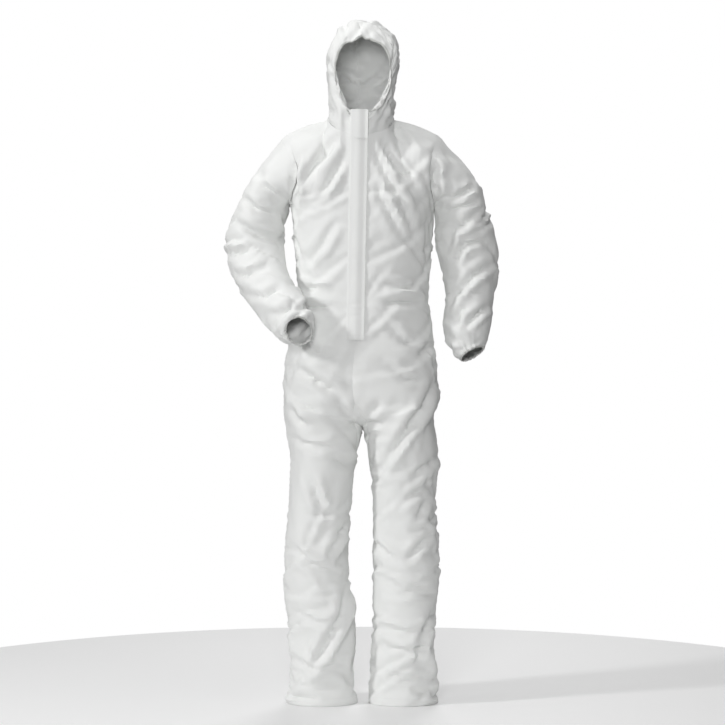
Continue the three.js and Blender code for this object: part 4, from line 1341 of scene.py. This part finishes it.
def make_stitching():
    suit, storm, chin = [], [], []
    for name in SIDES:
        for half in ("front", "back"):
            suit += stitch_run(*grid_row(f"{half}_panel_{name}", 0.0135))
        suit += stitch_run(*grid_row(f"sleeve_{name}", 0.972))
        for share in (0.985, 0.955):
            suit += stitch_run(*grid_column(f"hood_panel_{name}", share))
        suit += stitch_run(*[a[20:] for a in grid_column(f"hood_panel_{name}", 0.045)])
        suit += stitch_run(*[a[:4] for a in grid_row(f"sleeve_{name}", 0.01)])
        suit += stitch_run(*grid_row(f"sleeve_{name}", 0.012))
    for share in (0.10, 0.93):
        storm += stitch_run(*grid_column("storm_flap", share))
        chin += stitch_run(*[a[4:] for a in grid_column("chin_flap", share)])
    for share in (0.008, 0.022):
        storm += stitch_run(*grid_row("storm_flap", share))
    chin += stitch_run(*grid_row("chin_flap", 0.95))
    for name, parts, body in (
        ("panel_stitching", suit, "suit_body"),
        ("storm_flap_stitching", storm, "storm_flap"),
        ("chin_flap_stitching", chin, "chin_flap"),
    ):
        add_piece(merged(name, parts), "nonwoven_fabric", body, look_name="sewing_thread")


def make_seam_allowances():
    """The raw seam edges that show inside the hood, folded to one side and sewn."""
    for name in SIDES:
        points, normals = _grids[f"hood_panel_{name}"]
        across = points[:, -4] - points[:, -1]
        across /= np.linalg.norm(across, axis=1, keepdims=True)
        reach = np.linspace(0, 0.0075, 6)[None, :, None]
        inside = points[:, -1:] + across[:, None] * reach - normals[:, -1:] * (0.0016 + 0.12 * reach)
        waver = 0.0006 * np.sin(np.arange(len(points)) * 0.9)[:, None, None] * reach / 0.0075
        inside = inside - normals[:, -1:] * waver
        outward = np.broadcast_to(normals[:, -1:], inside.shape)
        strip = solid_sheet(
            f"hood_seam_allowance_{name}", inside[2:-1], sign_of(inside[2:-1], outward[2:-1]), 0.0008
        )
        add_piece(strip, "nonwoven_fabric", "suit_body")


# ---------------------------------------------------------------- materials
class Nodes:
    """A node tree and short ways to add to it."""

    def __init__(self, name):
        self.material = bpy.data.materials.new(name)
        self.material.use_nodes = True
        self.tree = self.material.node_tree
        self.shader = self.tree.nodes["Principled BSDF"]

    def add(self, kind, settings=None, **inputs):
        node = self.tree.nodes.new(f"ShaderNode{kind}")
        for key, value in (settings or {}).items():
            setattr(node, key, value)
        for key, value in inputs.items():
            self.feed(node.inputs[key.replace("_", " ")], value)
        return node

    def feed(self, socket, value):
        if isinstance(value, bpy.types.NodeSocket):
            self.tree.links.new(value, socket)
        else:
            socket.default_value = value

    def math(self, operation, a, b=0.0):
        node = self.add("Math", {"operation": operation})
        self.feed(node.inputs[0], a)
        self.feed(node.inputs[1], b)
        return node.outputs[0]

    def between(self, value, low, high, start=0.0, end=1.0):
        node = self.add("MapRange", {"clamp": True})
        for socket, item in zip(node.inputs, (value, start, end, low, high)):
            self.feed(socket, item)
        return node.outputs[0]

    def shade(self, colour, amount, value):
        """colour darkened by up to amount where value, 0 to 1, is low."""
        mixer = self.add("Mix", {"data_type": "RGBA"})
        self.feed(mixer.inputs[0], value)
        self.feed(mixer.inputs[6], (*(c * (1 - amount) for c in colour), 1))
        self.feed(mixer.inputs[7], (*colour, 1))
        return mixer.outputs[2]

    def bump(self, height, distance, strength, below=None):
        node = self.add("Bump", Height=height, Distance=distance, Strength=strength)
        if below is not None:
            self.feed(node.inputs["Normal"], below)
        return node.outputs[0]


def fabric_look(nodes, colour, crumple=1.0):
    """Bonded nonwoven: facets, faint fibres and the small bonded points of its web."""
    place = nodes.add("TexCoord")
    solid, flat = place.outputs["Object"], place.outputs["UV"]
    warp = nodes.add("TexNoise", Vector=solid, Scale=14.0, Detail=2.0)
    push = nodes.add("VectorMath", {"operation": "SCALE"}, Scale=0.05)
    nodes.feed(push.inputs[0], warp.outputs["Color"])
    bent = nodes.add("VectorMath", {"operation": "ADD"})
    nodes.feed(bent.inputs[0], solid)
    nodes.feed(bent.inputs[1], push.outputs[0])
    big = nodes.add("TexVoronoi", {"feature": "F1"}, Vector=bent.outputs[0], Scale=24.0)
    small = nodes.add("TexVoronoi", {"feature": "F1"}, Vector=bent.outputs[0], Scale=105.0)
    ridge = nodes.add("TexNoise", Vector=bent.outputs[0], Scale=55.0, Detail=4.0, Roughness=0.6)
    fibres = nodes.add("TexNoise", Vector=flat, Scale=900.0, Detail=3.0, Roughness=0.7)
    bonds = nodes.add("Mapping", Vector=flat, Rotation=(0, 0, math.radians(45)))
    bonds.inputs["Scale"].default_value = (620, 620, 620)
    points = nodes.add("TexVoronoi", {"feature": "F1"}, Vector=bonds.outputs[0], Scale=1.0)
    points.inputs["Randomness"].default_value = 0.15
    dots = nodes.between(points.outputs["Distance"], 0.0, 1.0, 0.18, 0.34)
    bump = nodes.bump(big.outputs["Distance"], 0.0100 * crumple, 1.0)
    bump = nodes.bump(ridge.outputs["Fac"], 0.0050 * crumple, 0.8, bump)
    bump = nodes.bump(small.outputs["Distance"], 0.0026 * crumple, 0.8, bump)
    bump = nodes.bump(dots, 0.00009, 0.35, bump)
    bump = nodes.bump(fibres.outputs["Fac"], 0.00012, 0.45, bump)
    cloud = nodes.add("TexNoise", Vector=solid, Scale=7.0, Detail=5.0, Roughness=0.62)
    web = nodes.math("MULTIPLY", cloud.outputs["Fac"], dots)
    nodes.feed(nodes.shader.inputs["Base Color"], nodes.shade(colour, 0.055, web))
    rough = nodes.between(fibres.outputs["Fac"], 0.70, 0.86, 0.3, 0.7)
    nodes.feed(nodes.shader.inputs["Roughness"], rough)
    nodes.feed(nodes.shader.inputs["Normal"], bump)
    nodes.shader.inputs["Sheen Weight"].default_value = 0.12
    nodes.shader.inputs["Sheen Roughness"].default_value = 0.45
    nodes.shader.inputs["Specular IOR Level"].default_value = 0.28
    thin = nodes.add("BsdfTranslucent", Color=(0.92, 0.93, 0.91, 1), Normal=bump)
    through = nodes.add("MixShader", Fac=0.42)
    nodes.feed(through.inputs[1], nodes.shader.outputs[0])
    nodes.feed(through.inputs[2], thin.outputs[0])
    out = nodes.tree.nodes["Material Output"]
    nodes.feed(out.inputs["Surface"], through.outputs[0])


def ribbed_look(nodes, colour):
    """Narrow knitted elastic: rubber ribs along it, stitches across."""
    flat = nodes.add("TexCoord").outputs["UV"]
    ribs = nodes.add("TexWave", {"bands_direction": "Y"}, Vector=flat, Scale=160.0)
    ribs.inputs["Distortion"].default_value = 0.4
    knit = nodes.add("TexWave", {"bands_direction": "X"}, Vector=flat, Scale=330.0)
    knit.inputs["Distortion"].default_value = 1.2
    both = nodes.math("MULTIPLY", ribs.outputs["Fac"], knit.outputs["Fac"])
    fuzz = nodes.add("TexNoise", Vector=flat, Scale=1500.0, Detail=3.0)
    bump = nodes.bump(both, 0.0003, 0.8)
    bump = nodes.bump(fuzz.outputs["Fac"], 0.0001, 0.4, bump)
    # painted shade: the colour is darkened by up to 22% in the sunk valleys between the ribs and stitches,
    # the same pattern that the bump sinks
    nodes.feed(nodes.shader.inputs["Base Color"], nodes.shade(colour, 0.22, both))
    nodes.feed(nodes.shader.inputs["Roughness"], nodes.between(both, 0.78, 0.92))
    nodes.feed(nodes.shader.inputs["Normal"], bump)
    nodes.shader.inputs["Sheen Weight"].default_value = 0.2


def woven_look(nodes, colour):
    """Plain narrow weave of warp and weft."""
    flat = nodes.add("TexCoord").outputs["UV"]
    warp = nodes.add("TexWave", {"bands_direction": "X"}, Vector=flat, Scale=420.0)
    weft = nodes.add("TexWave", {"bands_direction": "Y"}, Vector=flat, Scale=520.0)
    for wave in (warp, weft):
        wave.inputs["Distortion"].default_value = 0.6
    over = nodes.math("MAXIMUM", warp.outputs["Fac"], weft.outputs["Fac"])
    fuzz = nodes.add("TexNoise", Vector=flat, Scale=2200.0, Detail=2.0)
    bump = nodes.bump(over, 0.00018, 0.8)
    bump = nodes.bump(fuzz.outputs["Fac"], 0.00006, 0.4, bump)
    # painted shade: the colour is darkened by up to 18% in the gaps between warp and weft, where the bump
    # sinks
    nodes.feed(nodes.shader.inputs["Base Color"], nodes.shade(colour, 0.18, over))
    nodes.feed(nodes.shader.inputs["Roughness"], nodes.between(fuzz.outputs["Fac"], 0.72, 0.9))
    nodes.feed(nodes.shader.inputs["Normal"], bump)
    nodes.shader.inputs["Sheen Weight"].default_value = 0.15


def moulded_look(nodes, colour):
    """Satin nylon with faint flow marks and rubbed edges."""
    solid = nodes.add("TexCoord").outputs["Object"]
    grain = nodes.add("TexNoise", Vector=solid, Scale=2600.0, Detail=4.0)
    flow = nodes.add("TexNoise", Vector=solid, Scale=190.0, Detail=3.0)
    worn = nodes.add("NewGeometry").outputs["Pointiness"]
    edge = nodes.between(worn, 0.0, 1.0, 0.50, 0.58)
    bump = nodes.bump(grain.outputs["Fac"], 0.00004, 0.5)
    nodes.feed(nodes.shader.inputs["Base Color"], nodes.shade(colour, 0.10, flow.outputs["Fac"]))
    rough = nodes.math("SUBTRACT", nodes.between(flow.outputs["Fac"], 0.36, 0.54, 0.3, 0.7),
                       nodes.math("MULTIPLY", edge, 0.10))
    nodes.feed(nodes.shader.inputs["Roughness"], rough)
    nodes.feed(nodes.shader.inputs["Normal"], bump)
    nodes.shader.inputs["Specular IOR Level"].default_value = 0.45


def paper_look(nodes, colour):
    """Siliconed release paper: smooth, a little glossy, with pressed-in fibre clouds."""
    flat = nodes.add("TexCoord").outputs["UV"]
    cloud = nodes.add("TexNoise", Vector=flat, Scale=260.0, Detail=4.0)
    curl = nodes.add("TexNoise", Vector=flat, Scale=24.0, Detail=1.0)
    bump = nodes.bump(curl.outputs["Fac"], 0.0008, 0.3)
    bump = nodes.bump(cloud.outputs["Fac"], 0.00006, 0.3, bump)
    nodes.feed(nodes.shader.inputs["Base Color"], nodes.shade(colour, 0.07, cloud.outputs["Fac"]))
    rough = nodes.between(cloud.outputs["Fac"], 0.32, 0.5)
    nodes.feed(nodes.shader.inputs["Roughness"], rough)
    nodes.feed(nodes.shader.inputs["Normal"], bump)


def thread_look(nodes, colour):
    """Spun polyester thread, twisted."""
    solid = nodes.add("TexCoord").outputs["Object"]
    twist = nodes.add("TexWave", {"bands_direction": "DIAGONAL"}, Vector=solid, Scale=1400.0)
    fuzz = nodes.add("TexNoise", Vector=solid, Scale=4000.0, Detail=2.0)
    bump = nodes.bump(twist.outputs["Fac"], 0.00008, 0.7)
    # painted shade: the colour is darkened by up to 15% in the grooves of the twist, where the bump sinks
    nodes.feed(nodes.shader.inputs["Base Color"], nodes.shade(colour, 0.15, twist.outputs["Fac"]))
    nodes.feed(nodes.shader.inputs["Roughness"], nodes.between(fuzz.outputs["Fac"], 0.6, 0.8))
    nodes.feed(nodes.shader.inputs["Normal"], bump)


def floor_look(nodes, colour):
    """Matt painted studio floor with a faint roller texture."""
    solid = nodes.add("TexCoord").outputs["Object"]
    roller = nodes.add("TexNoise", Vector=solid, Scale=240.0, Detail=3.0)
    cloud = nodes.add("TexNoise", Vector=solid, Scale=1.5, Detail=3.0)
    nodes.feed(nodes.shader.inputs["Base Color"], nodes.shade(colour, 0.012, cloud.outputs["Fac"]))
    rough = nodes.between(roller.outputs["Fac"], 0.55, 0.7)
    nodes.feed(nodes.shader.inputs["Roughness"], rough)
    bump = nodes.bump(roller.outputs["Fac"], 0.0002, 0.1)
    nodes.feed(nodes.shader.inputs["Normal"], bump)


def look(name):
    """The named material, made the first time that it is asked for."""
    if name in bpy.data.materials:
        return bpy.data.materials[name]
    nodes = Nodes(name)
    c = colours()
    makers = {
        "nonwoven_fabric": (fabric_look, c.fabric),
        "nonwoven_edge": (lambda n, colour: fabric_look(n, colour, 0.25), c.fabric),
        "elastic": (ribbed_look, c.elastic),
        "woven_tape": (woven_look, c.elastic),
        "zip_nylon": (moulded_look, c.zip_nylon),
        "release_paper": (paper_look, c.release_paper),
        "sewing_thread": (thread_look, c.zip_nylon),
        "studio_floor": (floor_look, (0.93, 0.93, 0.93)),
    }
    maker, colour = makers[name]
    maker(nodes, tuple(colour))
    return nodes.material


# ---------------------------------------------------------------- studio
VIEW_DISTANCE = 6.2
VIEW_HEIGHT = 1.02
VIEW_CENTRE = 0.877
VIEW_WIDTH = 1.856
SENSOR = 36.0


FLOOR_RADIUS = 1.5
# name, place, aim, width and height in metres, watts
LAMPS = (
    ("key", (-3.1, -1.5, 2.5), (0, 0, 1.0), (0.35, 0.45), 52),
    ("fill", (-0.3, -3.7, 1.75), (0, 0, 1.62), (0.8, 0.8), 52),
    ("back", (0.6, 3.4, 2.6), (0, 0, 1.1), (1.6, 1.6), 42),
    ("overhead", (0, 0.4, 4.6), (0, 0.4, 0), (5.0, 5.0), 105),
)


def make_floor():
    edit = bmesh.new()
    rings = []
    for share in (0.02, 0.2, 0.45, 0.7, 0.9, 1.0):
        reach = FLOOR_RADIUS * share
        turns = [2 * math.pi * n / 96 for n in range(96)]
        rings.append([
            edit.verts.new((reach * math.cos(a), reach * math.sin(a), -0.0005)) for a in turns
        ])
    edit.faces.new(rings[0])
    for inner, outer in zip(rings[:-1], rings[1:]):
        for n in range(96):
            edit.faces.new((inner[n - 1], outer[n - 1], outer[n], inner[n]))
    bmesh.ops.recalc_face_normals(edit, faces=edit.faces)
    mesh = bpy.data.meshes.new("studio_floor")
    edit.to_mesh(mesh)
    edit.free()
    floor = bpy.data.objects.new("studio_floor", mesh)
    bpy.context.scene.collection.objects.link(floor)
    mesh.materials.append(look("studio_floor"))


def make_world():
    """White behind the suit, and a much weaker even light on it."""
    world = bpy.data.worlds.new("studio")
    bpy.context.scene.world = world
    world.use_nodes = True
    tree = world.node_tree
    seen = tree.nodes["Background"]
    seen.inputs["Color"].default_value = (1, 1, 1, 1)
    seen.inputs["Strength"].default_value = 1.0
    even = tree.nodes.new("ShaderNodeBackground")
    even.inputs["Color"].default_value = (1, 1, 1, 1)
    even.inputs["Strength"].default_value = 0.10
    path = tree.nodes.new("ShaderNodeLightPath")
    choose = tree.nodes.new("ShaderNodeMixShader")
    tree.links.new(path.outputs["Is Camera Ray"], choose.inputs[0])
    tree.links.new(even.outputs[0], choose.inputs[1])
    tree.links.new(seen.outputs[0], choose.inputs[2])
    tree.links.new(choose.outputs[0], tree.nodes["World Output"].inputs["Surface"])


def make_studio():
    scene = bpy.context.scene
    make_floor()
    make_world()
    for name, place, aim, size, energy in LAMPS:
        lamp = bpy.data.lights.new(name, "AREA")
        lamp.shape = "RECTANGLE"
        lamp.size, lamp.size_y = size
        lamp.energy = energy
        obj = bpy.data.objects.new(name, lamp)
        obj.location = place
        obj.rotation_euler = (Vector(aim) - Vector(place)).to_track_quat("-Z", "Y").to_euler()
        scene.collection.objects.link(obj)

    camera = bpy.data.cameras.new("camera")
    camera.sensor_width = SENSOR
    camera.lens = SENSOR * VIEW_DISTANCE / VIEW_WIDTH
    view = bpy.data.objects.new("camera", camera)
    view.location = (0.0, -VIEW_DISTANCE, VIEW_HEIGHT)
    aim = Vector((0, 0, VIEW_CENTRE)) - view.location
    view.rotation_euler = aim.to_track_quat("-Z", "Y").to_euler()
    scene.collection.objects.link(view)
    scene.camera = view
    scene.view_settings.view_transform = "Standard"
    scene.view_settings.look = "None"


# ---------------------------------------------------------------- operators and panel
class COVERALL_OT_body(bpy.types.Operator):
    """Make the four body panels and the crotch gusset"""

    bl_idname = "coverall.body"
    bl_label = "Body panels"

    def execute(self, context):
        make_body_panels()
        make_gusset()
        return {"FINISHED"}


class COVERALL_OT_sleeves(bpy.types.Operator):
    """Make both sleeves with their gathered cuffs"""

    bl_idname = "coverall.sleeves"
    bl_label = "Sleeves"

    def execute(self, context):
        make_sleeves()
        return {"FINISHED"}


class COVERALL_OT_hood(bpy.types.Operator):
    """Make both halves of the hood and its inner seam"""

    bl_idname = "coverall.hood"
    bl_label = "Hood"

    def execute(self, context):
        make_hood()
        make_seam_allowances()
        return {"FINISHED"}


class COVERALL_OT_elastics(bpy.types.Operator):
    """Make the elastics and the turned-up hems"""

    bl_idname = "coverall.elastics"
    bl_label = "Elastics and hems"

    def execute(self, context):
        make_elastics()
        return {"FINISHED"}


class COVERALL_OT_zip(bpy.types.Operator):
    """Make the zip's tapes, coils, stops, slider and pull tab"""

    bl_idname = "coverall.zip"
    bl_label = "Zip"

    def execute(self, context):
        make_zip()
        return {"FINISHED"}


class COVERALL_OT_flaps(bpy.types.Operator):
    """Make the storm flap, chin flap and adhesive strips"""

    bl_idname = "coverall.flaps"
    bl_label = "Flaps"

    def execute(self, context):
        make_flaps()
        return {"FINISHED"}


class COVERALL_OT_edges(bpy.types.Operator):
    """Roll the edges of the cuffs and the face opening"""

    bl_idname = "coverall.edges"
    bl_label = "Edges"

    def execute(self, context):
        make_edges()
        return {"FINISHED"}


class COVERALL_OT_stitching(bpy.types.Operator):
    """Sew the thread along hems, seams and flaps"""

    bl_idname = "coverall.stitching"
    bl_label = "Stitching"

    def execute(self, context):
        make_stitching()
        return {"FINISHED"}


class COVERALL_OT_label(bpy.types.Operator):
    """Make the blank label in the neck"""

    bl_idname = "coverall.label"
    bl_label = "Label"

    def execute(self, context):
        make_label()
        return {"FINISHED"}


class COVERALL_OT_studio(bpy.types.Operator):
    """Make the floor, lights and camera"""

    bl_idname = "coverall.studio"
    bl_label = "Studio"

    def execute(self, context):
        make_studio()
        return {"FINISHED"}


OPERATORS = (
    COVERALL_OT_body,
    COVERALL_OT_sleeves,
    COVERALL_OT_hood,
    COVERALL_OT_elastics,
    COVERALL_OT_zip,
    COVERALL_OT_flaps,
    COVERALL_OT_edges,
    COVERALL_OT_stitching,
    COVERALL_OT_label,
    COVERALL_OT_studio,
)


class COVERALL_PT_panel(bpy.types.Panel):
    """Sizes, colours and pieces of the coverall."""

    bl_label = "Coverall"
    bl_idname = "COVERALL_PT_panel"
    bl_space_type = "VIEW_3D"
    bl_region_type = "UI"
    bl_category = "Coverall"

    def draw(self, context):
        for group in (context.scene.coverall_sizes, context.scene.coverall_colours):
            box = self.layout.column()
            for name in type(group).__annotations__:
                box.prop(group, name)
        for kind in OPERATORS:
            self.layout.operator(kind.bl_idname)


CLASSES = (CoverallSizes, CoverallColours, *OPERATORS, COVERALL_PT_panel)


def register():
    for kind in CLASSES:
        bpy.utils.register_class(kind)
    bpy.types.Scene.coverall_sizes = bpy.props.PointerProperty(type=CoverallSizes)
    bpy.types.Scene.coverall_colours = bpy.props.PointerProperty(type=CoverallColours)


def unregister():
    del bpy.types.Scene.coverall_colours
    del bpy.types.Scene.coverall_sizes
    for kind in reversed(CLASSES):
        bpy.utils.unregister_class(kind)


def main():
    register()
    for kind in OPERATORS:
        group, name = kind.bl_idname.split(".")
        getattr(getattr(bpy.ops, group), name)()


if __name__ == "__main__":
    main()
